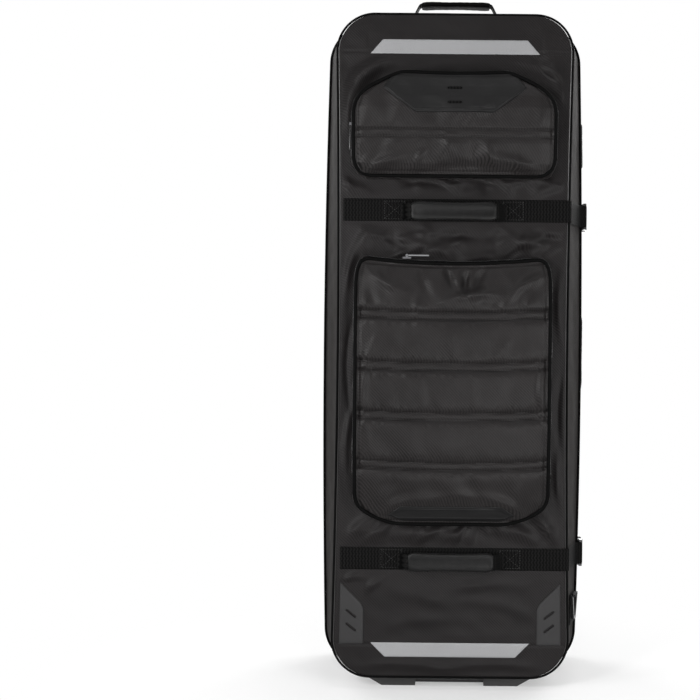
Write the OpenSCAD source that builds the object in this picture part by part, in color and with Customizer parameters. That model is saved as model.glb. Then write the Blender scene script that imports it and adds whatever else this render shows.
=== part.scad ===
// Tall soft rolling case: a padded fabric base with a swinging lid, two front pockets, two
// buckled straps, a combination lock and two wheels in moulded housings.
// +Z is up, the front faces -Y, and the origin is on the floor under the middle of the case.

/* [Body] */
// Width across the seam between the lid and its zip
seam_w = 430; // [410:1:450]
// Width of the front panel
front_w = 398; // [380:1:405]
// Width of the back panel
back_w = 426; // [410:1:450]
// Height of the fabric body
body_h = 1124; // [1090:1:1160]
// Height of the body above the floor
body_clear = 25; // [22:0.5:29]
// Depth of the lid from the front panel to its seam
lid_d = 83; // [76:1:95]
// Width of the zip tape on the lid
lid_tape_w = 18.5; // [16:0.5:24]
// Width of the zip tape on the base
base_tape_w = 9; // [8:0.5:14]
// Depth of the base from the parting line to the back
base_d = 131.5; // [120:0.5:150]
// Radius of the body corners, seen from the front
corner_r = 64; // [50:1:72]
// How far the side walls bulge at mid height
side_bulge = 8; // [2:0.5:12]
// How far the edges of the front panel draw in at mid height
panel_draw = 8; // [0:0.5:10]
// Thickness of the padded side walls
wall = 5; // [4:0.5:7]
// Thickness of the front and back panels
panel_t = 6; // [5:0.5:8]
// Thickness of the lining
lining_t = 1.5; // [1:0.25:2.5]
// Thickness of the stiffening board in the back
board_t = 3; // [2:0.5:4]
// Radius of the seam piping
piping_r = 2; // [1.5:0.25:2.5]
// Width of the pad on the back
pad_w = 300; // [240:5:340]
// Height of the pad on the back
pad_h = 577; // [450:1:640]
// Thickness of the pad on the back
pad_t = 6; // [4:0.5:9]
// Height of the middle of the pad
pad_z = 671; // [640:1:700]

/* [Pockets] */
// Width of the upper pocket
small_pocket_w = 340; // [320:1:352]
// Height of the upper pocket
small_pocket_h = 173; // [150:1:178]
// Depth of the upper pocket
small_pocket_d = 48; // [36:1:52]
// Height of the lower edge of the upper pocket
small_pocket_z = 873; // [862:1:885]
// Width of the lower pocket
big_pocket_w = 326; // [300:1:350]
// Height of the lower pocket
big_pocket_h = 447; // [420:1:465]
// Depth of the lower pocket
big_pocket_d = 53; // [49:1:60]
// Height of the lower edge of the lower pocket
big_pocket_z = 286; // [276:1:296]
// Thickness of the rubber patches on the pockets
patch_t = 1.6; // [1:0.2:2.4]

/* [Front trim] */
// Length of the upper edge of the upper reflective strip
strip_top_w = 246; // [220:2:260]
// Length of the lower edge of the upper reflective strip
strip_low_w = 288; // [270:2:300]
// Height of a reflective strip
strip_h = 24; // [18:1:28]
// Height of the middle of the upper strip
strip_high_z = 1095; // [1085:1:1105]
// Height of the middle of the lower strip
strip_bottom_z = 70; // [60:1:75]
// Thickness of a reflective strip
strip_t = 0.8; // [0.6:0.1:1.2]
// Height of the rubber corner guards
guard_h = 104; // [90:1:115]
// Width of the rubber corner guards
guard_w = 42; // [36:1:50]
// Thickness of the rubber corner guards
guard_t = 3; // [2:0.5:4]

/* [Straps] */
// Width of the webbing
web_w = 38; // [34:1:40]
// Thickness of the webbing
web_t = 1.6; // [1.2:0.1:1.9]
// Height of the middle of the upper strap
strap_high_z = 817; // [805:1:828]
// Height of the middle of the lower strap
strap_low_z = 225; // [215:1:235]
// Thickness of a side-release buckle
buckle_t = 8; // [7:0.5:10]

/* [Handles] */
// Length of the padded front grips
front_grip_l = 142; // [120:1:160]
// Height of the padded front grips
front_grip_h = 32; // [26:1:34]
// How far the front grips stand in front of the panel
front_grip_out = 26; // [22:1:34]
// Length of the side grip
side_grip_l = 133; // [110:1:145]
// Width of the side and top grips
grip_w = 34; // [28:1:38]
// Thickness of every padded grip
grip_t = 10; // [8:0.5:12]
// Height of the middle of the side handle
side_grip_z = 577; // [550:1:600]
// How far the side grip stands off the wall
side_grip_out = 15; // [14.5:0.5:20]
// Length of the top grip
top_grip_l = 124; // [100:1:140]
// How far the top grip stands above the body
top_grip_out = 66; // [50:1:76]
// Length of a sewn handle tab
tab_l = 38; // [32:1:44]
// Width of a sewn handle tab
tab_w = 41; // [38:1:46]

/* [D-rings] */
// Width of the D-rings
ring_w = 48; // [44:1:52]
// Height of the D-rings
ring_h = 44; // [38:1:48]
// Radius of the bar of a D-ring
ring_bar_r = 2.4; // [2:0.1:2.8]
// Height of the bar of the upper D-ring
ring_high_z = 1029; // [1020:1:1036]
// Height of the bar of the lower D-ring
ring_low_z = 156; // [150:1:170]
// Length of the tab behind the lower D-ring
low_tab_l = 54; // [48:1:60]

/* [Lock] */
// Height of the lock
lock_h = 80; // [74:1:90]
// Width of the lock
lock_w = 36; // [34:0.5:42]
// Thickness of the lock
lock_t = 10; // [9.5:0.25:12]
// Height of the middle of the lock
lock_z = 948; // [940:1:956]
// Radius of a number dial
dial_r = 5; // [4.5:0.1:5.2]
// Width of a number dial
dial_w = 8; // [6:0.5:9]

/* [Wheels] */
// Radius of the wheels
wheel_r = 34; // [31:0.5:36]
// Width of the wheels
wheel_w = 22; // [18:0.5:24]
// How far the wheel axles lie behind the back panel
axle_back = 5; // [2:0.5:9]
// Radius of the wheel axles
axle_r = 4; // [3:0.25:5]
// Radius of a wheel bearing
bearing_r = 8; // [7:0.25:9]
// Width of a wheel bearing
bearing_w = 5; // [4:0.25:6]
// Gap round the wheel in its housing
well_gap = 5; // [4:0.5:7]
// Radius of the arch of a wheel housing
arch_r = 60; // [54:1:64]
// How far a wheel housing stands behind the back panel
housing_back = 20; // [17:0.5:24]
// Height of the heavy leg of a wheel housing
housing_leg_z = 175; // [150:1:185]
// Height of the thin guard above the leg
housing_top_z = 208; // [196:1:240]

/* [Feet] */
// Width of the front foot
foot_w = 310; // [280:2:330]
// Depth of the front foot
foot_d = 27; // [24:1:34]
// Radius of the grip bar in the front foot
foot_bar_r = 5.6; // [4.5:0.1:6]
// Length of the grip bar in the front foot
foot_bar_l = 118; // [100:1:130]
// Length of a ribbed side foot
side_foot_l = 84; // [70:1:95]
// Width of a ribbed side foot
side_foot_w = 30; // [24:1:40]
// Height of a ribbed side foot
side_foot_h = 9; // [7:0.5:10]

/* [Fits] */
// Clearance all round a turning shaft or pin
run_gap = 0.06; // [0.03:0.01:0.08]
// Gap between pieces that slide or swing past each other
move_gap = 0.4; // [0.3:0.05:0.5]
// Gap between pieces sewn or screwed face to face
seat_gap = 0.1; // [0.05:0.05:0.2]

/* [Hidden] */
$fn = 48;

// where things lie from front to back
depth_all = big_pocket_d + lid_d + lid_tape_w + base_d + axle_back + wheel_r;
front_y = -depth_all / 2 + big_pocket_d;
seam_y = front_y + lid_d;
part_y = seam_y + lid_tape_w;
base_y = part_y + base_tape_w;
back_y = part_y + base_d;
wheel_y = back_y + axle_back;
low_z = body_clear;
high_z = body_clear + body_h;
mid_z = (low_z + high_z) / 2;

// half width and bulge of the body at a depth y, and its wall at a depth and a height
function half_w(y) = lookup(y, [[front_y, front_w / 2], [seam_y, seam_w / 2], [back_y, back_w / 2]]);
function bulge(y) = lookup(y, [[front_y, -panel_draw], [seam_y, side_bulge], [back_y, side_bulge]]);
function rise(z) = 2 * (z - mid_z) / body_h;
function wall_x(y, z) = half_w(y) + bulge(y) * (1 - rise(z) * rise(z));
function lean(y, z) = atan((wall_x(y, z + 20) - wall_x(y, z - 20)) / 40);
function turn(y, z) = -atan((wall_x(y + 4, z) - wall_x(y - 4, z)) / 8);

// a frame on the right wall: x stands out of the wall, y runs to the back and z runs up
function side_origin(y, z) = [wall_x(y, z), y, z];
function about_y(v, a) = [v[0] * cos(a) + v[2] * sin(a), v[1], v[2] * cos(a) - v[0] * sin(a)];
function about_z(v, a) = [v[0] * cos(a) - v[1] * sin(a), v[0] * sin(a) + v[1] * cos(a), v[2]];
function side_dir(y, z, v) = about_y(about_z(v, turn(y, z)), lean(y, z));
function side_point(y, z, v) = side_origin(y, z) + side_dir(y, z, v);
function side_local(y, z, p) = about_z(about_y(p - side_origin(y, z), -lean(y, z)), -turn(y, z));

module on_side(y, z) {
    translate(side_origin(y, z)) rotate([0, lean(y, z), 0]) rotate([0, 0, turn(y, z)]) children();
}

// outline of the body at depth y, as [x, z], moved out by grow
corner_steps = 6;
side_steps = 12;
function arc(cx, cz, r, from) = [
    for (i = [0:corner_steps]) let (a = from + 90 * i / corner_steps) [cx + r * cos(a), cz + r * sin(a)]
];
function outline(y, grow) =
    let (
        r = corner_r + grow,
        cx = half_w(y) + grow - r,
        top = high_z + grow - r,
        low = low_z - grow + r,
        step = (top - low) / side_steps,
        left = [for (i = [1:side_steps - 1]) [-cx - r, top - step * i]],
        right = [for (i = [1:side_steps - 1]) [cx + r, low + step * i]]
    ) [
        for (p = concat(arc(cx, top, r, 0), arc(-cx, top, r, 90), left,
                        arc(-cx, low, r, 180), arc(cx, low, r, 270), right))
            [p[0] + sign(p[0]) * bulge(y) * max(0, 1 - rise(p[1]) * rise(p[1])), p[1]]
    ];
function ring(y, grow, at) = [for (p = outline(y, grow)) [p[0], at, p[1]]];

// skins of triangles through rings of equally many points; other splits each quad the other way
function quad(a, b, i, n, other = false) =
    let (j = (i + 1) % n)
        other ? [[a * n + i, a * n + j, b * n + i], [a * n + j, b * n + j, b * n + i]]
              : [[a * n + i, a * n + j, b * n + j], [a * n + i, b * n + j, b * n + i]];
function flat(lists) = [for (l = lists) each l];
// a cap that crosses a ring like the rungs of a ladder, so it may be drawn in at the sides;
// top is the last point on the right before the ring turns left
function rung(n, top, i) = [(top - i + n) % n, top + 1 + i];
function cap(n, top, first, dir) = flat([for (i = [0:n / 2 - 2])
    let (a = rung(n, top, i), b = rung(n, top, i + 1), q = [a[0], a[1], b[1], b[0]] + first * [1, 1, 1, 1])
        dir > 0 ? [[q[0], q[1], q[2]], [q[0], q[2], q[3]]] : [[q[0], q[2], q[1]], [q[0], q[3], q[2]]]]);
module loft(rings, top = 0, other = false) {
    n = len(rings[0]);
    last = len(rings) - 1;
    sides = flat([for (k = [0:last - 1], i = [0:n - 1]) quad(k, k + 1, i, n, other)]);
    polyhedron(points = flat(rings), faces = concat(sides, cap(n, top, 0, -1), cap(n, top, last * n, 1)));
}
module band(rings) {
    n = len(rings[0]);
    count = len(rings);
    faces = flat([for (k = [0:count - 1], i = [0:n - 1]) quad(k, (k + 1) % count, i, n)]);
    polyhedron(points = flat(rings), faces = faces);
}

// a round-cornered plate outline that keeps true arcs
module rounded(w, h, r) {
    square([w - 2 * r, h], center = true);
    square([w, h - 2 * r], center = true);
    for (x = [-1, 1], y = [-1, 1]) translate([x * (w / 2 - r), y * (h / 2 - r)]) circle(r);
}
module along_x(x) { translate([x, 0, 0]) rotate([90, 0, 90]) children(); }

// a band of webbing that follows points in the x-y plane, web_w wide along z
function unit(v) = v / norm(v);
function left_of(a, b) = let (d = unit(b - a)) [-d[1], d[0]];
function mitre(p, i) =
    let (
        a = i == 0 ? left_of(p[0], p[1]) : left_of(p[i - 1], p[i]),
        b = i == len(p) - 1 ? a : left_of(p[i], p[i + 1]),
        m = unit(a + b)
    ) m / max(0.5, m * a);
function thick_path(p, t) = concat(
    [for (i = [0:len(p) - 1]) p[i] + mitre(p, i) * t / 2],
    [for (i = [len(p) - 1:-1:0]) p[i] - mitre(p, i) * t / 2]
);
module webbing(path) {
    translate([0, 0, -web_w / 2]) linear_extrude(web_w) polygon(thick_path(path, web_t));
}

// ---- fabric body ----
module piping(y, ref_y, grow, r) {
    sides = 6;
    band([for (k = [0:sides - 1]) let (a = 360 * k / sides)
        ring(ref_y, grow + r + seat_gap + r * cos(a), y + r * sin(a))]);
}
module plate(y, t, grow, edge, face) {
    // the face side, -1 front or 1 back, has its edge rounded over
    near = [ring(y, grow - 2 * edge, y), ring(y, grow - 0.4 * edge, y + 0.4 * edge), ring(y, grow, y + edge)];
    if (face < 0) loft(concat(near, [ring(y, grow, y + t)]), corner_steps);
    if (face > 0) loft([ring(y, grow, y), ring(y, grow, y + t - edge), ring(y, grow - 0.4 * edge, y + t - 0.4 * edge),
                        ring(y, grow - 2 * edge, y + t)], corner_steps);
}
module gusset(from, to) {
    mid = (from + to) / 2;
    band([ring(from, 0, from), ring(mid, 0, mid), ring(to, 0, to), ring(to, -wall, to), ring(mid, -wall, mid),
          ring(from, -wall, from)]);
}
panel_edge = 2.5;
module front_panel() { color("#1c1c1e") plate(front_y, panel_t, 0, panel_edge, -1); }
module lid_gusset() { color("#202022") gusset(front_y + panel_t, seam_y); }
module base_gusset() {
    color("#202022") difference() {
        gusset(base_y, back_y - panel_t);
        housing_cuts();
    }
}
module back_panel() {
    color("#1c1c1e") difference() {
        plate(back_y - panel_t, panel_t, 0, panel_edge, 1);
        housing_cuts();
    }
}
lining_out = -wall - 3 * seat_gap;
lining_in = lining_out - lining_t;
module back_board() {
    y = back_y - panel_t - seat_gap - board_t;
    color("#3a3a3c") difference() {
        loft([ring(y, lining_out, y), ring(y, lining_out, y + board_t)], corner_steps);
        housing_cuts();
    }
}
module base_lining() {
    floor_y = back_y - panel_t - board_t - 2 * seat_gap;
    color("#55575a") difference() {
        loft([ring(floor_y, lining_in, floor_y - lining_t), ring(base_y, lining_in, base_y),
              ring(base_y, lining_out, base_y), ring(floor_y, lining_out, floor_y)], corner_steps);
        housing_cuts();
    }
}
module lid_lining() {
    floor_y = front_y + panel_t + seat_gap;
    mid = (front_y + panel_t + seam_y) / 2;
    // its quads are split as those of the lid's wall are, so that the two skins stay apart
    color("#55575a") loft([
        ring(floor_y, lining_out, floor_y), ring(mid, lining_out, mid), ring(seam_y, lining_out, seam_y),
        ring(seam_y, lining_in, seam_y), ring(mid, lining_in, mid),
        ring(floor_y + lining_t, lining_in, floor_y + lining_t)
    ], corner_steps, true);
}
tape_out = -1.5;
tape_in = -3.5;
teeth_w = 3;
teeth_out = 0.6;
second_piping_r = 1.6;
second_piping_y = seam_y + 9;
module zip_half(edge, far) {
    // edge is the toothed edge at the parting line, far the edge sewn to the gusset
    dir = sign(edge - far);
    root = edge - dir * teeth_w;
    rings = [ring(far, tape_out, far), ring(root, tape_out, root), ring(root, teeth_out, root),
             ring(edge, teeth_out, edge), ring(edge, tape_in, edge), ring(far, tape_in, far)];
    band(dir > 0 ? rings : [for (i = [5:-1:0]) rings[i]]);
}
module zip_lid() { color("#141415") zip_half(part_y - seat_gap, seam_y); }
module zip_base() { color("#141415") zip_half(part_y + seat_gap, base_y); }
module lid_piping() {
    color("#111112") {
        piping(front_y + panel_edge, front_y + panel_t, 0, piping_r);
        piping(seam_y, seam_y, 0, piping_r);
        piping(second_piping_y, second_piping_y, tape_out, second_piping_r);
    }
}
module base_piping() {
    color("#111112") difference() {
        union() {
            piping(base_y, base_y, 0, second_piping_r);
            piping(back_y - panel_edge, back_y - panel_t, 0, piping_r);
        }
        housing_cuts();
    }
}
module back_pad() {
    crown = 0.35;
    color("#19191b") translate([0, back_y + seat_gap, pad_z]) rotate([-90, 0, 0]) union() {
        linear_extrude(pad_t * (1 - crown)) rounded(pad_w, pad_h, corner_r / 2);
        translate([0, 0, pad_t * (1 - crown)]) linear_extrude(pad_t * crown)
            rounded(pad_w - 3 * pad_t, pad_h - 3 * pad_t, corner_r / 2 - pad_t);
    }
}

// ---- pockets ----
// share of the half width and of the depth at each share of the height
small_pocket_form = [
    [0, 0.87, 0.40], [0.03, 0.95, 0.52], [0.11, 1, 0.66], [0.3, 1, 0.83], [0.64, 1, 1],
    [0.75, 0.955, 1], [0.85, 0.83, 0.93], [0.94, 0.66, 0.82], [1, 0.52, 0.7]
];
big_pocket_form = [
    [0, 0.56, 0.3], [0.012, 0.7, 0.36], [0.035, 0.85, 0.42], [0.06, 0.95, 0.5], [0.09, 1, 0.58],
    [0.17, 1, 0.72], [0.3, 1, 0.85], [0.48, 1, 0.94], [0.82, 1, 1], [0.93, 1, 0.87],
    [0.985, 0.97, 0.75], [1, 0.92, 0.68]
];
function form_at(form, share, column) = lookup(share, [for (f = form) [f[0], f[column]]]);
function pocket_ring(half, depth, z) =
    let (y = front_y - seat_gap, r = min(14, 0.35 * depth))
    [
        [half, y, z], [-half, y, z], [-half + 1, y - depth + r, z],
        [-half + 1 + 0.3 * r, y - depth + 0.3 * r, z], [-half + 1 + r, y - depth, z],
        [half - 1 - r, y - depth, z], [half - 1 - 0.3 * r, y - depth + 0.3 * r, z],
        [half - 1, y - depth + r, z]
    ];
module pocket(form, w, h, d, z) {
    loft([for (i = [len(form) - 1:-1:0]) let (f = form[i])
        pocket_ring(f[1] * w / 2, f[2] * (d - seat_gap), z + f[0] * h)]);
}
module small_pocket() {
    color("#18181a") pocket(small_pocket_form, small_pocket_w, small_pocket_h, small_pocket_d, small_pocket_z);
}
module big_pocket() {
    color("#18181a") pocket(big_pocket_form, big_pocket_w, big_pocket_h, big_pocket_d, big_pocket_z);
}
// a patch is a list of [share of the height, share of the half width]
small_patch_form = [[0.59, 0.38], [0.64, 0.46], [0.75, 0.61], [0.83, 0.7], [0.85, 0.673], [0.94, 0.55]];
big_patch_form = [[0.012, 0.5], [0.035, 0.66], [0.06, 0.56], [0.07, 0.52]];
function patch_ring(half, front, t, z) =
    [[half, front, z], [-half, front, z], [-half, front - t, z], [half, front - t, z]];
module patch(form, patch_form, w, h, d, z) {
    loft([for (i = [len(patch_form) - 1:-1:0]) let (f = patch_form[i])
        patch_ring(f[1] * w / 2, front_y - 2 * seat_gap - form_at(form, f[0], 2) * (d - seat_gap), patch_t,
                   z + f[0] * h)]);
}
patch_slot_w = 25;
patch_slot_h = 4;
module pocket_patches() {
    slot_z = small_pocket_z + 0.72 * small_pocket_h;
    color("#2b2b2e") {
        difference() {
            patch(small_pocket_form, small_patch_form, small_pocket_w, small_pocket_h,
                  small_pocket_d, small_pocket_z);
            for (k = [0, 1])
                translate([-patch_slot_w / 2, front_y - 2 * small_pocket_d, slot_z + k * 4 * patch_slot_h])
                    cube([patch_slot_w, 2 * small_pocket_d, patch_slot_h]);
        }
        patch(big_pocket_form, big_patch_form, big_pocket_w, big_pocket_h, big_pocket_d, big_pocket_z);
    }
}
// the zip sliders of the pockets and their pulls
pull_pin_r = 1.2;
small_pull_l = 44;
small_pull_y = front_y - 0.4 * small_pocket_d;
small_pull_z = small_pocket_z + 0.5 * small_pocket_h;
slider_t = 3;
eye_wall = 1.1;
small_slider_x = -small_pocket_w / 2 - 0.2;
small_pull_x = small_slider_x - slider_t - pull_pin_r - eye_wall - move_gap;
big_pull_l = 37;
big_pull_x = -0.24 * big_pocket_w;
big_pull_y = front_y - 0.35 * big_pocket_d;
big_slider_z = big_pocket_z + big_pocket_h + 0.1;
big_pull_z = big_slider_z + slider_t + pull_pin_r + eye_wall + move_gap;
slider_w = 7;
lug_l = pull_pin_r + eye_wall + move_gap + 1.6;
module pull_eye(len_y) {
    // the lug that holds the cross pin of a pull, with the pin along y
    rotate([90, 0, 0]) cylinder(r = pull_pin_r, h = len_y, center = true);
}
module pocket_sliders() {
    color("#b9bbc0") {
        translate([small_slider_x - slider_t / 2, small_pull_y, small_pull_z])
            cube([slider_t, slider_w, 14], center = true);
        for (s = [-1, 1])
            translate([small_pull_x - 1.5 + lug_l / 2, small_pull_y + s * (slider_w / 2 - 0.9), small_pull_z])
                cube([lug_l, 1.8, 4], center = true);
        translate([small_pull_x, small_pull_y, small_pull_z]) pull_eye(slider_w);
        translate([big_pull_x, big_pull_y, big_slider_z + slider_t / 2]) cube([14, slider_w, slider_t], center = true);
        for (s = [-1, 1])
            translate([big_pull_x, big_pull_y + s * (slider_w / 2 - 0.9), big_pull_z + 1.5 - lug_l / 2])
                cube([4, 1.8, lug_l], center = true);
        translate([big_pull_x, big_pull_y, big_pull_z]) pull_eye(slider_w);
    }
}
module pull(length, t) {
    // hangs down -z from a cross pin along y at the origin
    eye_w = slider_w - 3.6 - 2 * move_gap;
    difference() {
        union() {
            rotate([90, 0, 0]) cylinder(r = pull_pin_r + eye_wall, h = eye_w, center = true);
            translate([-t / 2, -eye_w / 2, -8]) cube([t, eye_w, 8]);
            translate([-t / 2, -2.5, -length]) cube([t, 5, length - 7]);
        }
        rotate([90, 0, 0]) cylinder(r = pull_pin_r + run_gap, h = 2 * slider_w, center = true);
    }
}
module small_pocket_pull() {
    color("#151516") translate([small_pull_x, small_pull_y, small_pull_z]) pull(small_pull_l, 2.2);
}
module big_pocket_pull() {
    color("#c9cbd0") translate([big_pull_x, big_pull_y, big_pull_z]) rotate([0, -90, 0]) pull(big_pull_l, 2);
}

// ---- front trim ----
module trapezoid(low, top, h) { polygon([[-low / 2, 0], [low / 2, 0], [top / 2, h], [-top / 2, h]]); }
module on_front(z, t) { translate([0, front_y - seat_gap, z]) rotate([90, 0, 0]) linear_extrude(t) children(); }
module reflective_strips() {
    color("#8f9195") {
        on_front(strip_high_z - strip_h / 2, strip_t) trapezoid(strip_low_w, strip_top_w, strip_h);
        on_front(strip_bottom_z - strip_h / 2, strip_t)
            trapezoid(strip_top_w - strip_h, strip_top_w + strip_h, strip_h);
    }
}
guard_edge = 10;
guard_low_z = low_z + 54;
guard_x = front_w / 2 - guard_edge;
module corner_guards() {
    // the outer edge follows the drawn-in edge of the panel, and two slots are cut in the face
    color("#2b2b2e") for (s = [-1, 1]) on_front(0, guard_t) scale([s, 1]) difference() {
        polygon([
            [guard_x - 1, guard_low_z], [guard_x - 2, guard_low_z + guard_h],
            [guard_x - guard_w * 0.9, guard_low_z + guard_h * 0.67],
            [guard_x - guard_w, guard_low_z + guard_h * 0.57], [guard_x - guard_w, guard_low_z + 2],
            [guard_x - guard_w + 2, guard_low_z]
        ]);
        for (k = [0, 1]) translate([guard_x - guard_w * 0.5, guard_low_z + guard_h * (0.28 + 0.22 * k)])
            rotate(38) square([22, 5], center = true);
    }
}

// ---- straps and buckles ----
buckle_y = part_y + 8;
buckle_lift = 2 * piping_r + 1.4;
buckle_w = web_w + 8;
mouth_w = web_w;
mouth_t = 5.2;
socket_back = 8.5;
socket_front = -18.5;
bar_front = -29;
bar_w = 3.5;
plug_y = socket_back + move_gap;
knuckle_y = plug_y + 3.2;
knuckle_z = mouth_w / 2 - 4.5;
knuckle_r = 2.2;
arm_t = 3;
strap_zs = [strap_high_z, strap_low_z];

module socket() {
    color("#0f0f10") translate([buckle_lift, 0, 0]) difference() {
        union() {
            translate([0, socket_front, -buckle_w / 2]) cube([buckle_t, socket_back - socket_front, buckle_w]);
            for (s = [-1, 1]) translate([buckle_t / 2, (bar_front + socket_front) / 2, s * (buckle_w / 2 - 2)])
                cube([buckle_t - 3, socket_front - bar_front + 2, 4], center = true);
            translate([1.5, bar_front, -buckle_w / 2]) cube([buckle_t - 4, bar_w, buckle_w]);
        }
        translate([(buckle_t - mouth_t) / 2, socket_front + 4, -mouth_w / 2])
            cube([mouth_t, socket_back - socket_front, mouth_w]);
        for (s = [-1, 1]) translate([-1, -3, s * (buckle_w / 2 + 4)]) rotate([0, 90, 0])
            cylinder(r = 11, h = buckle_t + 2);
    }
}
module plug() {
    rail_w = 3.5;
    rail_z = web_w / 2 + move_gap + rail_w / 2;
    color("#0f0f10") translate([buckle_lift, 0, 0]) difference() {
        union() {
            translate([0.5, plug_y, -mouth_w / 2 - 2]) cube([buckle_t - 1, 6.6, mouth_w + 4]);
            for (s = [-1, 1]) translate([buckle_t / 2, plug_y + 14, s * rail_z])
                cube([buckle_t - 3, 17, rail_w], center = true);
            for (y = [plug_y + 11, plug_y + 19]) translate([2, y, -rail_z]) cube([4, 3.2, 2 * rail_z]);
            translate([buckle_t / 2 - 1.3, socket_front + 7, -3]) cube([2.6, plug_y - socket_front - 6, 6]);
        }
        for (s = [-1, 1]) translate([buckle_t / 2, knuckle_y, s * knuckle_z]) {
            rotate([0, 90, 0]) cylinder(r = knuckle_r + run_gap, h = arm_t + 2 * move_gap, center = true);
            translate([0, -5, 0]) cube([arm_t + 2 * move_gap, 10, 2 * knuckle_r - 0.6], center = true);
        }
    }
}
module arm() {
    // one spring arm of the plug; z points away from the middle of the buckle
    inner = knuckle_z - 1.5;
    tip = mouth_w / 2 - 0.4;
    color("#161617") translate([buckle_lift + buckle_t / 2, 0, 0]) {
        along_x(-arm_t / 2) linear_extrude(arm_t) polygon([
            [knuckle_y, inner], [knuckle_y, inner + 3], [plug_y - 2.5, inner + 3], [plug_y - 6, tip],
            [socket_front + 12, tip], [socket_front + 8, tip - 1.5], [socket_front + 7, inner + 1],
            [socket_front + 9, inner]
        ]);
        translate([0, knuckle_y, knuckle_z]) rotate([0, 90, 0]) cylinder(r = knuckle_r, h = arm_t, center = true);
    }
}
module at_buckle(z) { on_side(buckle_y, z) children(); }
module buckle_sockets() { for (z = strap_zs) at_buckle(z) socket(); }
module buckle_plugs() { for (z = strap_zs) at_buckle(z) plug(); }
module buckle_arm_upper_a() { at_buckle(strap_high_z) arm(); }
module buckle_arm_upper_b() { at_buckle(strap_high_z) mirror([0, 0, 1]) arm(); }
module buckle_arm_lower_a() { at_buckle(strap_low_z) arm(); }
module buckle_arm_lower_b() { at_buckle(strap_low_z) mirror([0, 0, 1]) arm(); }

// a point on the wall at depth y, standing off it by out, in the frame of a buckle
function strap_point(z, y, out) =
    let (p = side_local(buckle_y, z, [wall_x(y, z) + out, y, z])) [p[0], p[1]];
web_lift = web_t / 2 + 0.7;
over_piping = 2 * piping_r + web_t / 2 + 0.6;
bar_x = buckle_lift + 1.5;
loop_out = buckle_lift + buckle_t - 2.5 + web_t / 2 + 0.3;
loop_in = bar_x - web_t / 2 - 0.3;
loop_y = bar_front + bar_w + web_t / 2 + 0.6;
// the piping of the front panel stands on the wider outline behind the panel
function over_front(z, y) = over_piping + 0.3 + wall_x(front_y + panel_t, z) - wall_x(max(y, front_y), z);
function lid_strap_path(z) = [
    strap_point(z, front_y - 1.2, over_front(z, front_y - 1.2)),
    strap_point(z, front_y + 5, over_front(z, front_y + 5)),
    strap_point(z, front_y + 12, web_lift + 0.3), strap_point(z, (front_y + seam_y) / 2, web_lift + 0.3),
    strap_point(z, seam_y - 12, web_lift + 0.2),
    strap_point(z, seam_y - 5, over_piping), [loop_out, bar_front - 2], [loop_out, loop_y],
    [loop_in, loop_y], [loop_in, bar_front - 0.5]
];
ladder_y = plug_y + 11;
under_x = buckle_lift + 2 - web_t / 2 - 0.3;
over_x = buckle_lift + 6 + web_t / 2 + 0.3;
function base_strap_path(z) = [
    strap_point(z, back_y - panel_t, web_lift), strap_point(z, buckle_y + plug_y + 36, web_lift),
    [under_x, plug_y + 24], [under_x, ladder_y + 5.6], [over_x, ladder_y + 5.6 - 0.4],
    [over_x, ladder_y - 2.1], [under_x + 1, ladder_y - 2.1]
];
module lid_straps() {
    left_end = front_w / 2 - panel_draw - 4;
    color("#1a1a1b") for (z = strap_zs) {
        corner_x = side_point(buckle_y, z, concat(lid_strap_path(z)[0], [0]))[0];
        translate([-left_end, front_y - seat_gap - web_t, z - web_w / 2])
            cube([left_end + corner_x, web_t, web_w]);
        at_buckle(z) webbing(lid_strap_path(z));
    }
}
module base_straps() { color("#1a1a1b") for (z = strap_zs) at_buckle(z) webbing(base_strap_path(z)); }

// ---- handles ----
handle_y = base_y + 61;
web_end_t = 2.4;
tab_t = 2;
module padded_grip(length, w) {
    // lies along x, with its under side at z = 0
    end = 7;
    rotate([90, 0, 90]) {
        translate([0, grip_t / 2, -length / 2 + end]) linear_extrude(length - 2 * end)
            rounded(w, grip_t, grip_t / 2 - 0.2);
        for (s = [-1, 1]) translate([0, grip_t / 2, s * (length / 2 - end / 2)]) linear_extrude(end, center = true)
            rounded(w - 4, grip_t - 3, grip_t / 2 - 1.6);
    }
}
module handle(length, w, out, reach) {
    // a padded grip whose webbing ends slope down to the wall at z = 0
    half = length / 2;
    low = web_end_t / 2 + tab_t + move_gap;
    high = out - grip_t / 2;
    translate([0, 0, out - grip_t]) padded_grip(length, w);
    for (s = [-1, 1]) scale([s, 1, 1]) translate([0, (w - 5) / 2, 0]) rotate([90, 0, 0])
        linear_extrude(w - 5) polygon(thick_path([[half - 4, high], [half + 3, high], [half + reach - 6, low],
                                                  [half + reach, low]], web_end_t));
}
module on_wall_up(y, z) { on_side(y, z) rotate([0, 90, 0]) children(); }
side_reach = 26;
top_reach = 38;
front_reach = 20;
module side_grip() {
    color("#121213") on_wall_up(handle_y, side_grip_z) handle(side_grip_l, grip_w, side_grip_out, side_reach);
}
module top_grip() {
    color("#121213") translate([0, handle_y, high_z]) handle(top_grip_l, grip_w, top_grip_out, top_reach);
}
module front_grip(z) {
    color("#121213") translate([0, front_y - seat_gap - web_t, z]) rotate([90, 0, 0])
        handle(front_grip_l, front_grip_h, front_grip_out - web_t - seat_gap, front_reach);
}
grip_drop = 3;
module front_grip_upper() { front_grip(strap_high_z - grip_drop); }
module front_grip_lower() { front_grip(strap_low_z - grip_drop); }
module tab() { translate([0, 0, seat_gap]) linear_extrude(tab_t) rounded(tab_l, tab_w, 3); }
module handle_tabs() {
    color("#1a1a1b") {
        for (s = [-1, 1]) {
            z = side_grip_z + s * (side_grip_l / 2 + side_reach + tab_l / 2 - 18);
            on_wall_up(handle_y, z) tab();
            translate([s * (top_grip_l / 2 + top_reach + tab_l / 2 - 18), handle_y, high_z]) tab();
        }
    }
}

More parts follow.
